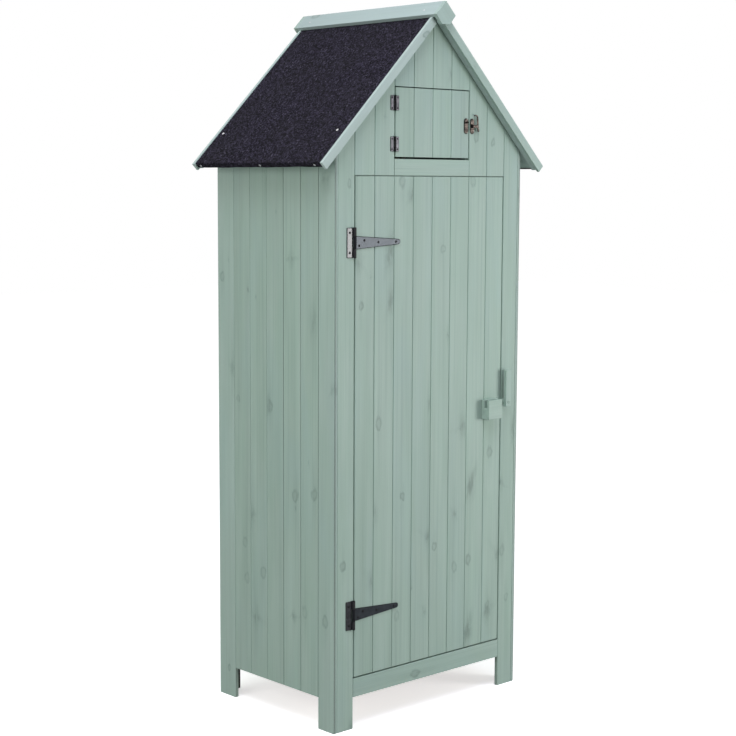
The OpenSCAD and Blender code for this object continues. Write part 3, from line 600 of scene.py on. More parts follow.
def board_face(w, t):
    """The outline of a board, its face between two bevels. The lists of painted light go round
    it too: two edges of the face, a joint, two corners behind and the other joint."""
    return [(BEVEL, 0), (w - BEVEL, 0), (w, BEVEL), (w, t), (0, t), (0, BEVEL)]


def upright(x, y, z0, z1, w, across, deep, t=BOARD_T, painted_light=JOINT_PAINTED_LIGHT):
    """A board standing at (x, y) on z0. Its top is z1, or the roof's underside where that
    is lower: z = peak - |x| at each corner of the outline."""
    face = board_face(w, t)
    corners = np.array(face)
    where = x + corners[:, 0] * across[0] + corners[:, 1] * deep[0]
    top = np.minimum(z1, SOFFIT_PEAK - np.abs(where))
    start = np.array([x, y, 0.0])
    return carry(face, start, across, deep, Z, z0, top, painted_light=painted_light)


def front_row(x0, count, z0, z1, pitch=PITCH_W, y=FRONT, deep=Y, t=BOARD_T, trim=0.0):
    """Boards side by side; the two outer ones lose the trim at their outer edges."""
    row = []
    for i in range(count):
        a = x0 + i * pitch + (trim if i == 0 and trim else GAP / 2)
        b = x0 + (i + 1) * pitch - (trim if i == count - 1 and trim else GAP / 2)
        row.append(upright(a, y, z0, z1, b - a, X, deep, t))
    return row


def side_board(side, y0, w, z0):
    """A board of a side wall; side is -1 at the left and 1 at the right."""
    return upright(side * BODY_W / 2, y0, z0, TO_ROOF, w, Y, -side * X, painted_light=SIDE_JOINT_PAINTED_LIGHT)


# %% Front wall
walls = {}
walls["front_stile_left"] = [upright(-INNER_X, FRONT, 0, TO_ROOF, STILE_W, X, Y)]
walls["front_stile_right"] = [upright(OPEN_HALF, FRONT, 0, TO_ROOF, STILE_W, X, Y)]
walls["gable_boards"] = (
    front_row(-OPEN_HALF, 2, DOOR_TOP, TO_ROOF) + front_row(HATCH_HALF, 2, DOOR_TOP, TO_ROOF)
    + front_row(-HATCH_HALF, HATCH_BOARDS, HATCH_HIGH, TO_ROOF))


def lying(x0, x1, z0, z1):
    """A board that lies along X in the front wall."""
    face = [(z0, 0), (z1, 0), (z1, BOARD_T), (z0, BOARD_T)]
    return carry(face, np.array([0.0, FRONT, 0.0]), Z, Y, X, x0, x1)


walls["front_rail"] = [lying(-OPEN_HALF + GAP, OPEN_HALF - GAP, LEG_H, DOOR_LOW)]
walls["hatch_sill"] = [lying(-HATCH_HALF + GAP, HATCH_HALF - GAP, DOOR_TOP, HATCH_LOW)]

# %% Side and back walls
for side, name in ((-1, "left"), (1, "right")):
    first = FRONT + SIDE_LEG_W
    walls["side_boards_" + name] = [
        side_board(side, first + i * SIDE_PITCH + GAP / 2, SIDE_PITCH - GAP, LEG_H)
        for i in range(SIDE_BOARDS)]
    walls["side_legs_" + name] = [
        side_board(side, FRONT, SIDE_LEG_W - GAP / 2, 0.0),
        side_board(side, BACK - SIDE_PITCH + GAP / 2, SIDE_PITCH - GAP / 2, 0.0)]
walls["back_boards"] = front_row(-BACK_HALF, BOARDS, LEG_H, TO_ROOF, 2 * BACK_HALF / BOARDS,
                                 BACK, -Y)
# The inner face of each back leg lies in shadow and is painted nearly black, as painted shade.
walls["back_legs"] = [upright(x, BACK, 0, TO_ROOF, BACK_LEG_W, X, -Y, painted_light=SHADED_FACE_PAINTED_LIGHT)
                      for x in (-INNER_X, BACK_HALF)]

for name, parts in walls.items():
    coat = pale_paint if name.startswith("side_legs") else paint
    make("dressed_" + name, parts, "shed", coat, name)
print("wall boards:", sum(len(p) for p in walls.values()))

# %% [markdown]
# ## The frame and the shelves
# Posts, battens, joists and shelves are plain planed sticks. Each is given by its two
# opposite corners, and its grain runs along its longest side.

# %% Sticks
def stick(a, b):
    """A planed stick between two corners. The outline is its section across the longest
    side, and it is carried along that side."""
    a, b = np.minimum(a, b).astype(float), np.maximum(a, b).astype(float)
    long = int(np.argmax(b - a))
    u, v = [k for k in range(3) if k != long]
    axes = np.eye(3)
    face = [(a[u], a[v]), (b[u], a[v]), (b[u], b[v]), (a[u], b[v])]
    return carry(face, np.zeros(3), axes[u], axes[v], axes[long], a[long], b[long], 1.0)


def both_sides(a, b):
    flip = np.array([-1.0, 1.0, 1.0])
    return [stick(a, b), stick(np.array(a) * flip, np.array(b) * flip)]


def row_along_y(x0, x1, y0, y1, z0, z1, count):
    w = (y1 - y0) / count
    return [stick((x0, y0 + i * w + GAP, z0), (x1, y0 + (i + 1) * w - GAP, z1))
            for i in range(count)]


# %% Inner timber
FRAME_PAINTED = ("head_batten", "door_stops", "hatch_stops")
SHELF_D, SHELVES, PLANK_T, BATTEN = 210.0, (510.0, 910.0), 10.0, 22.0
FIT, POST_PLAY, JOIST_UP = 0.5, 3.0, 5.0
HEAD_H, MID_LOW, MID_HIGH, BEAM_H = 52.0, 700.0, 740.0, 45.0
STOP_T, STOP_OVER, HATCH_STOP_OVER, HATCH_STOP_W = 12.0, 10.0, 6.0, 26.0
FLOOR_BOARDS, SHELF_BOARDS, LOFT_BOARDS = 9, 3, 6
LOFT = HATCH_LOW - FIT
UNDER_LOFT = LOFT - PLANK_T - BATTEN
POST_TOP = SOFFIT_PEAK - INNER_X - POST_PLAY
BEAM_TOP = SOFFIT_PEAK - POST / 2
FLOOR_W = 2 * POST_X / FLOOR_BOARDS
inner = {}
inner["corner_posts"] = [
    stick((sx * INNER_X, sy * INNER_Y, LEG_H), (sx * POST_X, sy * POST_Y, POST_TOP))
    for sx in (-1, 1) for sy in (-1, 1)]
inner["side_battens"] = (
    both_sides((-INNER_X, -POST_Y, LEG_H), (-POST_X, POST_Y, FLOOR_Z))
    + both_sides((-INNER_X, -POST_Y, UNDER_LOFT), (-POST_X, POST_Y, LOFT - PLANK_T)))
inner["head_batten"] = [stick((-POST_X, -INNER_Y, LOFT - HEAD_H), (POST_X, -POST_Y, LOFT))]
inner["back_battens"] = [stick((-POST_X, POST_Y, UNDER_LOFT), (POST_X, INNER_Y, LOFT)),
                         stick((-POST_X, POST_Y, MID_LOW), (POST_X, INNER_Y, MID_HIGH))]
inner["door_stops"] = both_sides(
    (-POST_X, -INNER_Y, FLOOR_Z + BOARD_T),
    (-OPEN_HALF + STOP_OVER, -INNER_Y + STOP_T, LOFT - HEAD_H - FIT))
inner["hatch_stops"] = both_sides(
    (-HATCH_HALF + HATCH_STOP_OVER - HATCH_STOP_W, -INNER_Y, HATCH_LOW),
    (-HATCH_HALF + HATCH_STOP_OVER, -INNER_Y + STOP_T, SOFFIT_PEAK - HATCH_HALF - HATCH_STOP_W))
inner["floor_joists"] = [
    stick((-POST_X, y, LEG_H + JOIST_UP), (POST_X, y + POST, FLOOR_Z - PLANK_T))
    for y in (-INNER_Y, -POST / 2, POST_Y)]
inner["floor_boards"] = [
    stick((-POST_X + i * FLOOR_W + GAP, -INNER_Y, FLOOR_Z - PLANK_T),
          (-POST_X + (i + 1) * FLOOR_W - GAP, INNER_Y, FLOOR_Z)) for i in range(FLOOR_BOARDS)]
for name, z in zip(("shelf_lower", "shelf_upper"), SHELVES):
    inner[name] = row_along_y(-INNER_X + FIT, INNER_X - FIT, POST_Y - SHELF_D, POST_Y,
                              z - PLANK_T, z, SHELF_BOARDS)
inner["shelf_battens"] = [
    s for z in SHELVES
    for s in both_sides((-INNER_X, POST_Y - SHELF_D, z - PLANK_T - BATTEN),
                        (-POST_X, POST_Y, z - PLANK_T))]
inner["loft_boards"] = row_along_y(-INNER_X + FIT, INNER_X - FIT, -POST_Y, POST_Y,
                                   LOFT - PLANK_T, LOFT, LOFT_BOARDS)
inner["ridge_beam"] = [
    stick((-POST / 2, -INNER_Y, BEAM_TOP - BEAM_H), (POST / 2, INNER_Y, BEAM_TOP))]
for name, parts in inner.items():
    kind, material = ("painted_wood", paint) if name in FRAME_PAINTED else ("bare_wood", bare)
    make("dressed_" + name, parts, "shed", material, name)
print("inner sticks:", sum(len(p) for p in inner.values()))

# %% [markdown]
# ## The roof
# The two slopes are mirror images. A point of a slope is given by its distance down from
# the ridge and its height over the felt, so one outline serves for both: only the two
# directions change. Board edges, bargeboards and cap boards are all cut square.

# %% Directions of the slopes
TOP = np.array([0.0, 0.0, PEAK])


def slope(side):
    """Directions down the slope and out of it; side is -1 at the left, 1 at the right."""
    return np.array([side, 0, -1]) / ROOT2, np.array([side, 0, 1]) / ROOT2


def along_ridge(side, points, y0, y1, **kind):
    """An outline (distance down, height out) carried from front to back."""
    falling, out = slope(side)
    return carry(points, TOP, falling, out, Y, y0, y1, **kind)


# %% Slope pieces
def roof_boards(side):
    first, last = SOFFIT, EAVE_S - FELT_T
    w = (last - first) / BOARDS
    rows = []
    for i in range(BOARDS):
        a = first + i * w + (GAP / 2 if i else 0.0)
        b = first + (i + 1) * w - GAP / 2
        rows.append(along_ridge(side, [
            (a if i else FELT_T, -FELT_T), (b, -FELT_T), (b, -SOFFIT + BEVEL),
            (b - BEVEL, -SOFFIT), (a, -SOFFIT)], -ROOF_Y, ROOF_Y))
    return rows


def verge(side, end):
    y = sorted((end * (BODY_D / 2 + VERGE_GAP), end * ROOF_Y))
    last = EAVE_S - FELT_T - GAP
    return along_ridge(side, [(SOFFIT + GAP, -SOFFIT), (last, -SOFFIT), (last, -BARGE_LOW),
                              (BARGE_LOW + GAP, -BARGE_LOW)], *y)


def bargeboard(side, end):
    """Carried down the slope: its outline is thickness along Y and width out of the slope."""
    falling, out = slope(side)
    y0, y1 = sorted((end * ROOF_Y, end * (ROOF_Y + BARGE_T)))
    face = [(y0, -BARGE_LOW), (y1, -BARGE_LOW), (y1, BARGE_UP), (y0, BARGE_UP)]
    return carry(face, TOP, Y, out, falling, CAP_S + GAP, BARGE_END_S, radius=1.0)


# %% Roof boards and trim
for side, name in ((-1, "left"), (1, "right")):
    # The roof boards take the paler trim paint as painted light, which lifts their shaded
    # undersides at the eaves.
    make("dressed_roof_" + name, roof_boards(side), "shed", trim_paint,
         "roof_boards_" + name)
    cap = along_ridge(side, [(0, 0), (CAP_S, 0), (CAP_S, CAP_T), (-CAP_T, CAP_T)],
                      -CAP_END_Y, CAP_END_Y, radius=[0.2, 1.0, 1.2, 0.2])
    make("dressed_cap_" + name, [cap], "shed", cap_paint, "ridge_cap_" + name)
    for end, where in ((-1, "front"), (1, "back")):
        # The right bargeboard of the front takes a deeper paint than the rest of the trim, as
        # painted shade.
        coat = pale_paint if (where, name) == ("front", "right") else trim_paint
        make(f"dressed_barge_{where}_{name}", [bargeboard(side, end)], "shed",
             coat, f"bargeboard_{where}_{name}")
# The verge battens take the paler trim paint as painted light on their shaded undersides.
make("dressed_verges", [verge(s, e) for s in (-1, 1) for e in (-1, 1)], "shed",
     trim_paint, "verge_battens")

# %% End plates of the cap
END_HALF, END_DROP = 13.5, 57.0
end_shape = [(0, TOTAL_H), (CAP_HALF, TOTAL_H - CAP_HALF), (END_HALF, TOTAL_H - END_DROP),
             (-END_HALF, TOTAL_H - END_DROP), (-CAP_HALF, TOTAL_H - CAP_HALF)]
ends = [carry(end_shape, np.zeros(3), X, Z, Y, y, y + CAP_END_T, radius=1.0)
        for y in (-CAP_END_Y - CAP_END_T, CAP_END_Y)]
make("dressed_ridge_ends", ends, "shed", pale_paint, "ridge_ends")

# %% [markdown]
# The felt is one sheet a side, over the slope and down over the eave. It is the same kind
# of outline, but carried in many steps, so that its cut lower edge can wander a little,
# as a hand-cut edge does.

# %% Felt sheets
# How far each sheet hangs below the roof boards
FELT_DROP = {-1: 4.0, 1: 1.6}


def felt_sheet(side, rows=60):
    """The felt's outline carried along Y. Its cut edge below the eave rises by up to two
    millimetres, by a sum of two sines of y. The right sheet was cut a little shorter."""
    falling, out = slope(side)
    inner_s, low = EAVE_S - FELT_T, -SOFFIT - FELT_DROP[side]
    points = [(0, 0), (EAVE_S, 0), (EAVE_S, low), (inner_s, low), (inner_s, -FELT_T),
              (FELT_T, -FELT_T)]
    outline, corner = eased(points, [0.1, 2.4, 0.6, 0.6, 0.6, 0.1], 5)
    y = np.linspace(-ROOF_Y, ROOF_Y, rows)[:, None]
    cut = (outline[:, 1] < -SOFFIT).astype(float)
    h = outline[:, 1] + cut * (1.0 + 0.6 * np.sin(y / 31.0) + 0.4 * np.sin(y / 12.7 + 1.0))
    s = np.broadcast_to(outline[:, 0], h.shape)
    place = TOP + s[..., None] * falling + h[..., None] * out + y[..., None] * Y
    return place, {"edge": np.broadcast_to(corner, s.shape)}


for side, name in ((-1, "left"), (1, "right")):
    make("dressed_felt_" + name, [felt_sheet(side)], "shed", felt, "felt_" + name)

# %% [markdown]
# ## Heads of nails and screws
# A nail head is a shallow dome. A screw head is the same dome with a cross pressed into
# it. Both are a height over a disc, worked out on rings of points round the centre.

# %% Domes
SKIRT, SUNK = 0.15, 0.3


def dome(centre, out, radius, height, cross=0.0, rings=16, around=40):
    """Height over a disc, ring by ring from the rim to the middle, and a rim let in below.
    h = skirt + height sqrt(1 - (r/R)^2) less the cross, whose depth fades over a short way
    where the smaller of |u| and |v| leaves the slot and where r passes its end. The slot
    is 0.17 R to each side of its middle and 0.66 R long."""
    out = np.asarray(out, float)
    u = np.cross(out, Z if abs(out[2]) < 0.9 else X)
    u /= np.linalg.norm(u)
    v = np.cross(out, u)
    r = np.concatenate([[radius], np.linspace(radius, radius * 0.04, rings)])[:, None]
    a = np.linspace(0, 2 * np.pi, around, endpoint=False)[None, :]
    p, q = r * np.cos(a), r * np.sin(a)
    h = SKIRT + height * np.sqrt(np.maximum(1 - (r / radius) ** 2, 0)) + 0 * a
    slot = np.clip((radius * 0.17 - np.minimum(abs(p), abs(q))) / (radius * 0.08), 0, 1)
    slot *= np.clip((radius * 0.66 - np.maximum(abs(p), abs(q))) / (radius * 0.1), 0, 1)
    h = h - cross * slot
    h[0] = -SUNK
    place = np.asarray(centre, float) + p[..., None] * u + q[..., None] * v + h[..., None] * out
    return place, {"edge": np.zeros(h.shape), "rim": np.zeros(h.shape)}


# %% Roof nails
NAIL_R, CAP_NAIL_R, NAIL_DOME = 3.4, 2.4, 0.6
NAIL_IN_FRONT, NAIL_IN_BACK, CAP_NAIL_IN_BACK, NAIL_MID_Y = 31.0, 16.0, 25.0, -10.0
NAIL_BELOW_EAVE, NAIL_UP, CAP_NAIL_S = 8.5, 109.5, 19.0


def roof_nails():
    """Nails along the eave edge, high on the felt and in the ridge cap, on both slopes."""
    front, back, cap_back = (-ROOF_Y + NAIL_IN_FRONT, ROOF_Y - NAIL_IN_BACK,
                             ROOF_Y - CAP_NAIL_IN_BACK)
    heads = []
    for side in (-1, 1):
        falling, out = slope(side)
        eave = TOP + EAVE_S * falling - NAIL_BELOW_EAVE * out
        high = TOP + (EAVE_S - NAIL_UP) * falling
        cap = TOP + CAP_NAIL_S * falling + CAP_T * out
        heads += [dome(eave + y * Y, falling, NAIL_R, NAIL_DOME) for y in (front, NAIL_MID_Y, back)]
        heads += [dome(high + y * Y, out, NAIL_R, NAIL_DOME) for y in (front, back)]
        heads += [dome(cap + y * Y, out, CAP_NAIL_R, NAIL_DOME) for y in (front, cap_back)]
    return heads


make("dressed_roof_nails", roof_nails(), "shed", bright_nail, "roof_nails",
     smooth=True)

# %% [markdown]
# ## Door and hatch
# Both are rows of the same boards, with ledges behind. The two outer boards are a little
# narrower, which leaves the gap in which the leaf swings. A little was planed off below,
# so the gap under each is wider than the one over it.

# %% Door
LEDGE_Z, LEDGE_H, LEDGE_T, LEDGE_X = (289.0, 746.0, 1203.0), 64.0, 15.0, 238.0
BRACE_W, BRACE_IN = 56.0, 12.0
DOOR_PLANED, HATCH_PLANED = 1.6, 1.2
door = front_row(-OPEN_HALF, BOARDS, DOOR_LOW + END_GAP + DOOR_PLANED, DOOR_TOP - END_GAP,
                 t=DOOR_T, trim=SIDE_GAP)
make("dressed_door", door, "door", paint, "door_planks")
ledges = [stick((-LEDGE_X, FRONT + DOOR_T, z - LEDGE_H / 2),
                (LEDGE_X, FRONT + DOOR_T + LEDGE_T, z + LEDGE_H / 2)) for z in LEDGE_Z]
make("dressed_door_ledges", ledges, "door", bare, "door_ledges")


def brace(z0, z1):
    """A brace between two ledges. It is carried along its own slanting line, and both
    ends are cut level: s is measured from the line z = z0 at each corner."""
    x0, x1 = -LEDGE_X + BRACE_IN, LEDGE_X - BRACE_IN - BRACE_W
    run = np.array([x1 - x0, 0, z1 - z0])
    length = np.linalg.norm(run)
    run /= length
    across = np.array([run[2], 0, -run[0]])
    wide = BRACE_W * run[2]
    face = [(0, 0), (wide, 0), (wide, LEDGE_T), (0, LEDGE_T)]
    shift = np.array([c[0] for c in face]) * run[0] / run[2]
    return carry(face, np.array([x0, FRONT + DOOR_T, z0]), across, Y, run, shift,
                 length + shift, 1.0)


braces = [brace(LEDGE_Z[i] + LEDGE_H / 2 + GAP, LEDGE_Z[i + 1] - LEDGE_H / 2 - GAP)
          for i in (0, 1)]
make("dressed_door_braces", braces, "door", bare, "door_braces")

# %% Hatch
HATCH_LEDGE_H, HATCH_LEDGE_T, HATCH_LEDGE_IN, HATCH_LEDGE_SIDE = 40.0, 12.0, 12.0, 14.0
hatch = front_row(-HATCH_HALF, HATCH_BOARDS, HATCH_LOW + HATCH_GAP + HATCH_PLANED,
                  HATCH_HIGH - SIDE_GAP, t=DOOR_T, trim=SIDE_GAP)
make("dressed_hatch", hatch, "hatch", paint, "hatch_planks")
ledge_x = HATCH_HALF - HATCH_LEDGE_SIDE
hatch_ledges = [stick((-ledge_x, FRONT + DOOR_T, z),
                      (ledge_x, FRONT + DOOR_T + HATCH_LEDGE_T, z + HATCH_LEDGE_H))
                for z in (HATCH_LOW + HATCH_LEDGE_IN, HATCH_HIGH - HATCH_LEDGE_IN - HATCH_LEDGE_H)]
make("dressed_hatch_ledges", hatch_ledges, "hatch", bare, "hatch_ledges")

# %% [markdown]
# ## Strap hinges
# A strap hinge is cut from sheet and rolled: a narrow leaf on the post, a long tapering
# strap on the door, and three knuckles on one pin. The plates are outlines carried by
# their own thickness. The knuckles are turned surfaces.

# %% Plates and turned parts
def plate(points, y_face, thick, radius=0.8, ease=0.5, rim=1.3):
    """An outline in X and Z, standing off the face y_face towards the front."""
    return carry(points, np.array([0.0, y_face, 0.0]), X, Z, -Y, 0.0, thick, radius, ease,
                 rim=rim)


def turned(profile, centre, axis, around=36):
    """A surface of revolution: point = centre + r (u cos a + v sin a) + h axis for each
    pair (r, h) of the profile."""
    axis = np.asarray(axis, float)
    u = np.cross(axis, X if abs(axis[0]) < 0.9 else Y)
    u /= np.linalg.norm(u)
    v = np.cross(axis, u)
    r, h = np.array(profile, float).T[:, :, None]
    a = np.linspace(0, 2 * np.pi, around, endpoint=False)[None, :]
    place = (np.asarray(centre, float) + (r * np.cos(a))[..., None] * u
             + (r * np.sin(a))[..., None] * v + (h + 0 * a)[..., None] * axis)
    # A turned part counts as rim all over, so a metal gives all of it the dark, dull border,
    # painted shade.
    return place, {"edge": np.zeros(place.shape[:2]), "rim": np.ones(place.shape[:2])}


def knuckle(x, y, z0, z1, r):
    e = 0.35
    return turned([(r - e, z0), (r - e * 0.3, z0 + e * 0.3), (r, z0 + e), (r, z1 - e),
                   (r - e * 0.3, z1 - e * 0.3), (r - e, z1)], (x, y, 0), Z)


# %% Sizes of the strap hinges
BARREL_X, BARREL_R, PLATE_T, LIFT = -OPEN_HALF - 3.0, 4.0, 2.0, 0.3
BARREL_Y = FRONT - BARREL_R - LIFT
LEAF_X, LEAF_H, STRAP_H = (BARREL_X - 22.6, BARREL_X - 4.5), 72.0, 31.0
STRAP_ROOT_X, STRAP_END_X, STRAP_TIP_R = BARREL_X + 14.0, -OPEN_HALF + 2 * PITCH_W + 13.0, 6.5
WRAP, PIN_R, PIN_HEAD = 1.0, 1.9, 1.2
STRAP_SCREWS = ((-248.5, -7.5), (-232.0, 5.0), (-185.5, 0.0), (-126.5, 0.0))
LEAF_SCREW = (-279.1, 24.0)
# Radius of a head, height of its dome and depth of its cross
SCREW_HEAD = (3.2, 0.95, 0.7)


# %% Strap hinges
def strap_leaf(zc):
    """The leaf on the post. Its outer stretches wrap round the pin as two knuckles."""
    outer = (LEAF_H - STRAP_H) / 2 - LIFT
    low, high = zc - LEAF_H / 2, zc + LEAF_H / 2
    x0, x1 = LEAF_X
    x2 = BARREL_X - WRAP
    shape = [(x0, low), (x2, low), (x2, low + outer), (x1, low + outer), (x1, high - outer),
             (x2, high - outer), (x2, high), (x0, high)]
    return [plate(shape, FRONT, PLATE_T, [1.5, 0.2, 0.5, 0.8, 0.8, 0.5, 0.2, 1.5]),
            knuckle(BARREL_X, BARREL_Y, low, low + outer, BARREL_R),
            knuckle(BARREL_X, BARREL_Y, high - outer, high, BARREL_R)]


def strap(zc):
    """The strap on the door, which tapers to a half circle, with the middle knuckle."""
    low, high = zc - STRAP_H / 2, zc + STRAP_H / 2
    a = np.linspace(-np.pi / 2, np.pi / 2, 9)
    tip = [(STRAP_END_X + STRAP_TIP_R * np.cos(t), zc + STRAP_TIP_R * np.sin(t)) for t in a]
    x0 = BARREL_X + WRAP
    shape = [(x0, low), (STRAP_ROOT_X, low), *tip, (STRAP_ROOT_X, high), (x0, high)]
    return [plate(shape, FRONT, PLATE_T), knuckle(BARREL_X, BARREL_Y, low, high, BARREL_R)]


def strap_pin(zc):
    """The pin, with a domed head at each end. It is hidden inside the knuckles between."""
    r, e = BARREL_R - 0.5, PIN_HEAD
    low, high = zc - LEAF_H / 2, zc + LEAF_H / 2
    return turned([(r * 0.6, low - e), (r * 0.93, low - e * 0.6), (r, low - e * 0.2),
                   (PIN_R, low), (PIN_R, high), (r, high + e * 0.2),
                   (r * 0.93, high + e * 0.6), (r * 0.6, high + e)], (BARREL_X, BARREL_Y, 0), Z)


hinges = (LEDGE_Z[0], LEDGE_Z[2])
make("dressed_strap_leaves", [p for z in hinges for p in strap_leaf(z)], "shed",
     leaf_steel, "hinge_leaves", smooth=True)
make("dressed_straps", [p for z in hinges for p in strap(z)], "door",
     black_steel, "hinge_straps", smooth=True)
make("dressed_strap_pins", [strap_pin(z) for z in hinges], "shed", dark_screw,
     "hinge_pins", smooth=True)
make("dressed_leaf_screws",
     [dome((LEAF_SCREW[0], FRONT - PLATE_T, z + s * LEAF_SCREW[1]), -Y, *SCREW_HEAD)
      for z in hinges for s in (-1, 1)], "shed", dark_screw, "leaf_screws",
     smooth=True)
make("dressed_strap_screws",
     [dome((x, FRONT - PLATE_T, z + dz), -Y, *SCREW_HEAD)
      for z in hinges for x, dz in STRAP_SCREWS], "door", dark_screw,
     "strap_screws_set", smooth=True)

# %% [markdown]
# ## Latch block and turn button
# The block is sawn from one piece, with a notch cut down from the top. The button swings
# down into it and holds the door. Both were sanded before they were painted.

# %% Latch block
BUTTON = (OPEN_HALF + 9.5, 773.0)
BLOCK_X, BLOCK_D, BLOCK_LOW, BLOCK_HIGH = (188.0, 239.0), 27.0, 733.0, 784.0
NOTCH_NEAR, NOTCH_FAR, NOTCH_LOW = 9.5, 19.5, BUTTON[1] - 10.6
block_shape = [(0, BLOCK_LOW), (BLOCK_D, BLOCK_LOW), (BLOCK_D, BLOCK_HIGH),
               (NOTCH_FAR, BLOCK_HIGH), (NOTCH_FAR, NOTCH_LOW), (NOTCH_NEAR, NOTCH_LOW),
               (NOTCH_NEAR, BLOCK_HIGH), (0, BLOCK_HIGH)]
block = carry(block_shape, np.array([0.0, FRONT, 0.0]), -Y, Z, X, *BLOCK_X,
              [0.5, 1.8, 1.8, 1.4, 0.8, 0.8, 1.4, 0.5], 1.4)
make("dressed_latch_block", [block], "door", paint, "latch_block")

# %% Turn button
BUTTON_HALF, BUTTON_NEAR, BUTTON_FAR = 10.0, 10.0, 19.0
BUTTON_SHORT, BUTTON_LONG = 12.5, 84.5
button_face = [(-BUTTON_HALF, -BUTTON_FAR), (BUTTON_HALF, -BUTTON_FAR),
               (BUTTON_HALF, -BUTTON_NEAR), (-BUTTON_HALF, -BUTTON_NEAR)]
pivot = np.array([BUTTON[0], FRONT, BUTTON[1]])
button = carry(button_face, pivot, X, Y, Z, -BUTTON_SHORT, BUTTON_LONG, 1.4, 1.2)
make("dressed_turn_button", [button], "button", paint, "turn_button")

spacer = turned([(7.2, 0), (8.0, 0.6), (8.0, 9.1), (7.4, 9.7)], pivot, -Y)
shank = turned([(2.4, 8.0), (2.5, 9.0), (2.5, 19.0), (2.4, 19.6)], pivot, -Y)
pivot_head = dome(pivot - 19.4 * Y, -Y, 4.5, 1.1, 0.8)
make("dressed_button_pivot", [spacer, shank, pivot_head], "shed", paint,
     "button_pivot", smooth=True)

# %% [markdown]
# ## Hatch hinges and hook
# The hatch hangs on two small butt hinges and is held by a cast hook. The hook's arm
# turns on a rivet and drops over a peg. It is an outline too, drawn as it lies when
# fastened and then turned a quarter turn to its free place.

# %% Hatch hinges
HINGE_X, HINGE_R = -HATCH_HALF - 1.0, 2.6
HINGE_Y = FRONT - HINGE_R - LIFT
HINGE_Z = (1440.2, 1539.4)
BUTT_T, BUTT_IN, BUTT_OUT, BUTT_HALF, BUTT_THIRD = 1.5, 3.0, 14.0, 18.0, 6.0
BUTT_SCREW_X, BUTT_SCREW_Z = 9.2, 12.6
SMALL_HEAD = (2.3, 0.7, 0.5)


def butt_leaf(zc, side):
    """A leaf and its knuckles: two outer ones at the left, one in the middle at the right."""
    x0, x1 = HINGE_X + side * BUTT_IN, HINGE_X + side * BUTT_OUT
    shape = [(x0, zc - BUTT_HALF), (x1, zc - BUTT_HALF), (x1, zc + BUTT_HALF), (x0, zc + BUTT_HALF)]
    parts = [plate(shape, FRONT, BUTT_T, [0.3, 1.6, 1.6, 0.3], 0.4)]
    far, near = BUTT_THIRD + LIFT / 2, BUTT_THIRD - LIFT / 2
    spans = [(-BUTT_HALF, -far), (far, BUTT_HALF)] if side < 0 else [(-near, near)]
    for a, b in spans:
        xa, xb = sorted((HINGE_X, x0 + side * 0.5))
        tongue = [(xa, zc + a), (xb, zc + a), (xb, zc + b), (xa, zc + b)]
        parts += [plate(tongue, FRONT - LIFT, 1.2, 0.1, 0.1, 0.5),
                  knuckle(HINGE_X, HINGE_Y, zc + a, zc + b, HINGE_R)]
    return parts


def butt_pin(zc):
    r, low, high = HINGE_R - 0.3, zc - BUTT_HALF, zc + BUTT_HALF
    return turned([(r * 0.6, low - 1), (r, low - 0.4), (1.2, low), (1.2, high), (r, high + 0.4),
                   (r * 0.6, high + 1)], (HINGE_X, HINGE_Y, 0), Z)


def butt_screws(side):
    return [dome((HINGE_X + side * BUTT_SCREW_X, FRONT - BUTT_T, z + s * BUTT_SCREW_Z), -Y,
                 *SMALL_HEAD) for z in HINGE_Z for s in (-1, 1)]


for side, body, word in ((-1, "shed", "fixed"), (1, "hatch", "moving")):
    make(f"dressed_hatch_{word}_leaves", [p for z in HINGE_Z for p in butt_leaf(z, side)], body,
         browned, f"hatch_{word}_leaves", smooth=True)
    make(f"dressed_hatch_{word}_screws", butt_screws(side), body, dark_screw,
         f"hatch_{word}_screws", smooth=True)
make("dressed_hatch_pins", [butt_pin(z) for z in HINGE_Z], "shed", dark_screw,
     "hatch_pins", smooth=True)

# %% Hook plates
HOOK = (HATCH_HALF + 8.5, HATCH_LOW + 85.5)
HOOK_PLATE_T, HOOK_PLATE_R, HOOK_PLATE_STRAIGHT, HOOK_SCREW_Z = 2.0, 7.5, 12.0, 14.5
CATCH_X = 117.5


def catch_plate(x):
    """An upright plate with round ends: two half circles joined by straight sides."""
    r, d = HOOK_PLATE_R, HOOK_PLATE_STRAIGHT
    a = np.linspace(0, np.pi, 11)
    top = [(x + r * np.cos(t), HOOK[1] + d + r * np.sin(t)) for t in a]
    low = [(x - r * np.cos(t), HOOK[1] - d - r * np.sin(t)) for t in a]
    return plate(top + low, FRONT, HOOK_PLATE_T, 0.3, 1.1, 1.0)


def plate_screws(x):
    return [dome((x, FRONT - HOOK_PLATE_T, HOOK[1] + s * HOOK_SCREW_Z), -Y, *SMALL_HEAD)
            for s in (-1, 1)]


# %% Hook arm
# The arm as it lies when fastened, seen from the front, from the middle of its rivet
hook_shape = np.array([
    (-5, -1), (-3.6, -3.6), (0, -5), (3.6, -3.6), (5, 0), (3.6, 4.2), (3, 12.4), (12, 15.5),
    (14.5, 19.5), (12.5, 21.5), (6, 19.6), (-2, 18), (-14, 17.6), (-24, 16.4), (-28.4, 12.5),
    (-29.6, 6), (-28.4, 2.6), (-26, 3), (-25.8, 7), (-24.2, 11.8), (-21.5, 12.6), (-4.6, 12.6),
    (-2.8, 5.5), (-4.4, 2.6)])
# A quarter turn about the rivet: (x, z) becomes (z, -x)
free = np.stack([hook_shape[:, 1] + HOOK[0], -hook_shape[:, 0] + HOOK[1]], 1)
make("dressed_hook_arm", [plate(free, FRONT - 4.4, 2.6, 1.2, 0.7, 0.4)], "hook", bronze,
     "hook_arm", smooth=True)

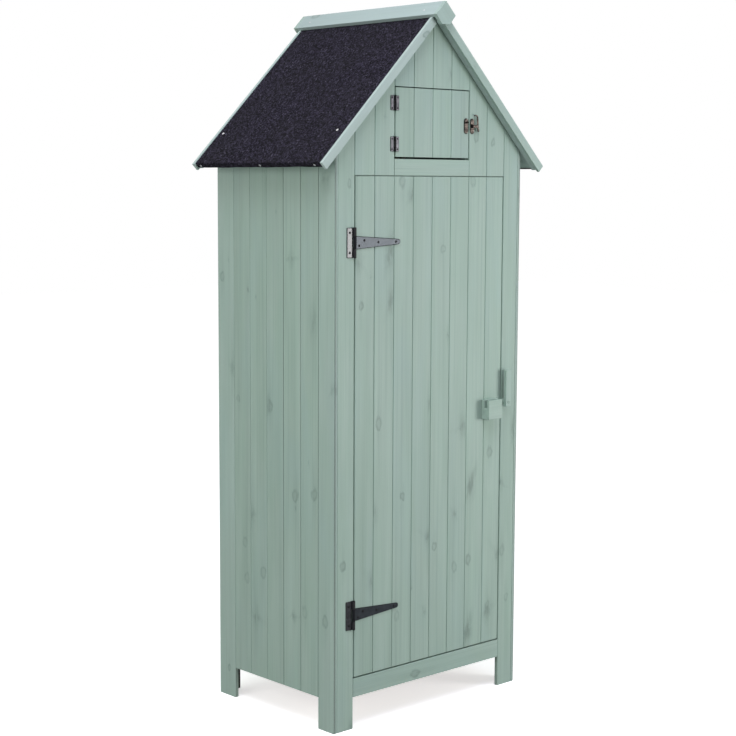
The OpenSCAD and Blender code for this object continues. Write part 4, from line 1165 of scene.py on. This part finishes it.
# %% Rivet, peg and screws
RIVET_OUT, PEG_IN, PEG_UP = 7.4, 21.0, 8.8
hook_at = np.array([HOOK[0], FRONT, HOOK[1]])
boss = turned([(4.5, 1.0), (4.5, 3.6), (4.0, 4.1)], hook_at, -Y)
rivet = [turned([(2.0, 3.0), (2.0, RIVET_OUT)], hook_at, -Y),
         dome(hook_at - RIVET_OUT * Y, -Y, 3.4, 1.1)]
peg = turned([(2.4, 1.0), (2.4, 7.8), (2.0, 8.3), (1.0, 8.5)], hook_at - PEG_IN * X + PEG_UP * Z,
             -Y)
make("dressed_hook_plate", [catch_plate(HOOK[0]), boss, *rivet], "shed", bronze,
     "hook_plate", smooth=True)
make("dressed_catch", [catch_plate(CATCH_X), peg], "hatch", bronze, "hatch_catch",
     smooth=True)
make("dressed_hook_screws", plate_screws(HOOK[0]), "shed", bronze, "hook_screws",
     smooth=True)
make("dressed_catch_screws", plate_screws(CATCH_X), "hatch", bronze, "catch_screws",
     smooth=True)

# %% [markdown]
# ## Light and floor
# The photograph has a white ground and even light. Four large panels give that light: a
# low one at the front right, which also shows in the gloss of the hinges, a faint bluish
# one high in front for the gable, one at the left for the side wall and one overhead for
# the roof. The white of the ground comes from its own colour, as the camera sees it, and
# not from more light: there the floor is matt white and glows a little. Near the shed it
# glows less, a painted shadow round its foot, and away from it more, so that it turns
# white and still keeps the shadow under the shed.

# %% Floor
FLOOR_HALF = 14.0
FLOOR_GREY, FLOOR_ROUGH = 0.50, 0.9
GLOW_NEAR, GLOW_FAR = (0.59, 0.59, 0.60), (0.70, 0.70, 0.71)
NEAR_M, FAR_M = 0.7, 2.2


def floor_sheet(half):
    mesh = bpy.data.meshes.new("studio_floor")
    mesh.from_pydata([(-half, -half, 0), (half, -half, 0), (half, half, 0), (-half, half, 0)],
                     [], [(0, 1, 2, 3)])
    obj = bpy.data.objects.new("studio_floor", mesh)
    bpy.context.scene.collection.objects.link(obj)
    return obj


ground = Sheet("studio_floor")
ground.put(ground.shader, {"Base Color": (FLOOR_GREY, FLOOR_GREY, FLOOR_GREY, 1.0),
                           "Roughness": FLOOR_ROUGH, "Specular IOR Level": 0.0})
by_camera = ground.node("ShaderNodeLightPath")
matt = ground.node("ShaderNodeBsdfDiffuse", None, {"Color": (1.0, 1.0, 1.0, 1.0)})
# The glow rises from near the shed to far off; the dimmer glow near it is a painted shadow.
away = ground.span(ground.length(ground.place()), NEAR_M, FAR_M)
glow = ground.node("ShaderNodeEmission", None,
                   {"Color": ground.mix(away, GLOW_NEAR, GLOW_FAR), "Strength": 1.0})
pale = ground.node("ShaderNodeAddShader", None, {0: matt, 1: glow})
grey = Signal(ground, ground.shader.outputs[0])
both = ground.node("ShaderNodeMixShader", None, {0: by_camera, 1: grey, 2: pale})
ground.put(ground.tree.nodes["Material Output"], {"Surface": both})
floor_sheet(FLOOR_HALF).data.materials.append(ground.material)

# %% [markdown]
# The world gives a faint light from all round. To the camera and in reflections it is
# white instead, so that the metals mirror the white ground of the photograph.

# %% World
ROOM_LIGHT, ROOM_TINT, WHITE = 0.34, (0.95, 1.0, 0.91, 1.0), (1.0, 1.0, 1.0, 1.0)
world = bpy.data.worlds.new("studio")
bpy.context.scene.world = world
world.use_nodes = True
tree = world.node_tree
room = tree.nodes["Background"]
seen = tree.nodes.new("ShaderNodeBackground")
for background, strength, colour in ((room, ROOM_LIGHT, ROOM_TINT), (seen, 1.0, WHITE)):
    background.inputs["Strength"].default_value = strength
    background.inputs["Color"].default_value = colour
paths = tree.nodes.new("ShaderNodeLightPath")
either = tree.nodes.new("ShaderNodeMath")
either.operation = "MAXIMUM"
tree.links.new(paths.outputs["Is Camera Ray"], either.inputs[0])
tree.links.new(paths.outputs["Is Glossy Ray"], either.inputs[1])
blend = tree.nodes.new("ShaderNodeMixShader")
for socket, node in enumerate((either, room, seen)):
    tree.links.new(node.outputs[0], blend.inputs[socket])
tree.links.new(blend.outputs[0], tree.nodes["World Output"].inputs["Surface"])


# %% Lamps
def panel(name, place, aim, wide, high, watts, colour=(1.0, 1.0, 1.0)):
    """A panel of light at a place, turned towards its aim. Both are in metres."""
    lamp = bpy.data.lights.new(name, "AREA")
    lamp.color = colour
    lamp.shape, lamp.size, lamp.size_y, lamp.energy = "RECTANGLE", wide, high, watts
    obj = bpy.data.objects.new(name, lamp)
    place, aim = Vector(place), Vector(aim)
    turned_to = (aim - place).to_track_quat("-Z", "Y")
    obj.matrix_world = Matrix.Translation(place) @ turned_to.to_matrix().to_4x4()
    bpy.context.scene.collection.objects.link(obj)


panel("front_panel", (1.97, -2.56, 0.78), (-0.15, -0.2, 0.95), 1.1, 1.15, 45.0)
panel("high_panel", (0.4, -1.9, 3.0), (-0.1, -0.2, 1.65), 0.9, 0.9, 4.6, (0.6, 0.62, 1.2))
panel("side_panel", (-3.4, -0.2, 1.6), (0, 0, 1.0), 2.2, 1.8, 37.0)
panel("top_panel", (-1.3, -1.2, 4.0), (0, 0, 1.2), 2.2, 2.2, 83.0, (0.97, 0.95, 1.06))
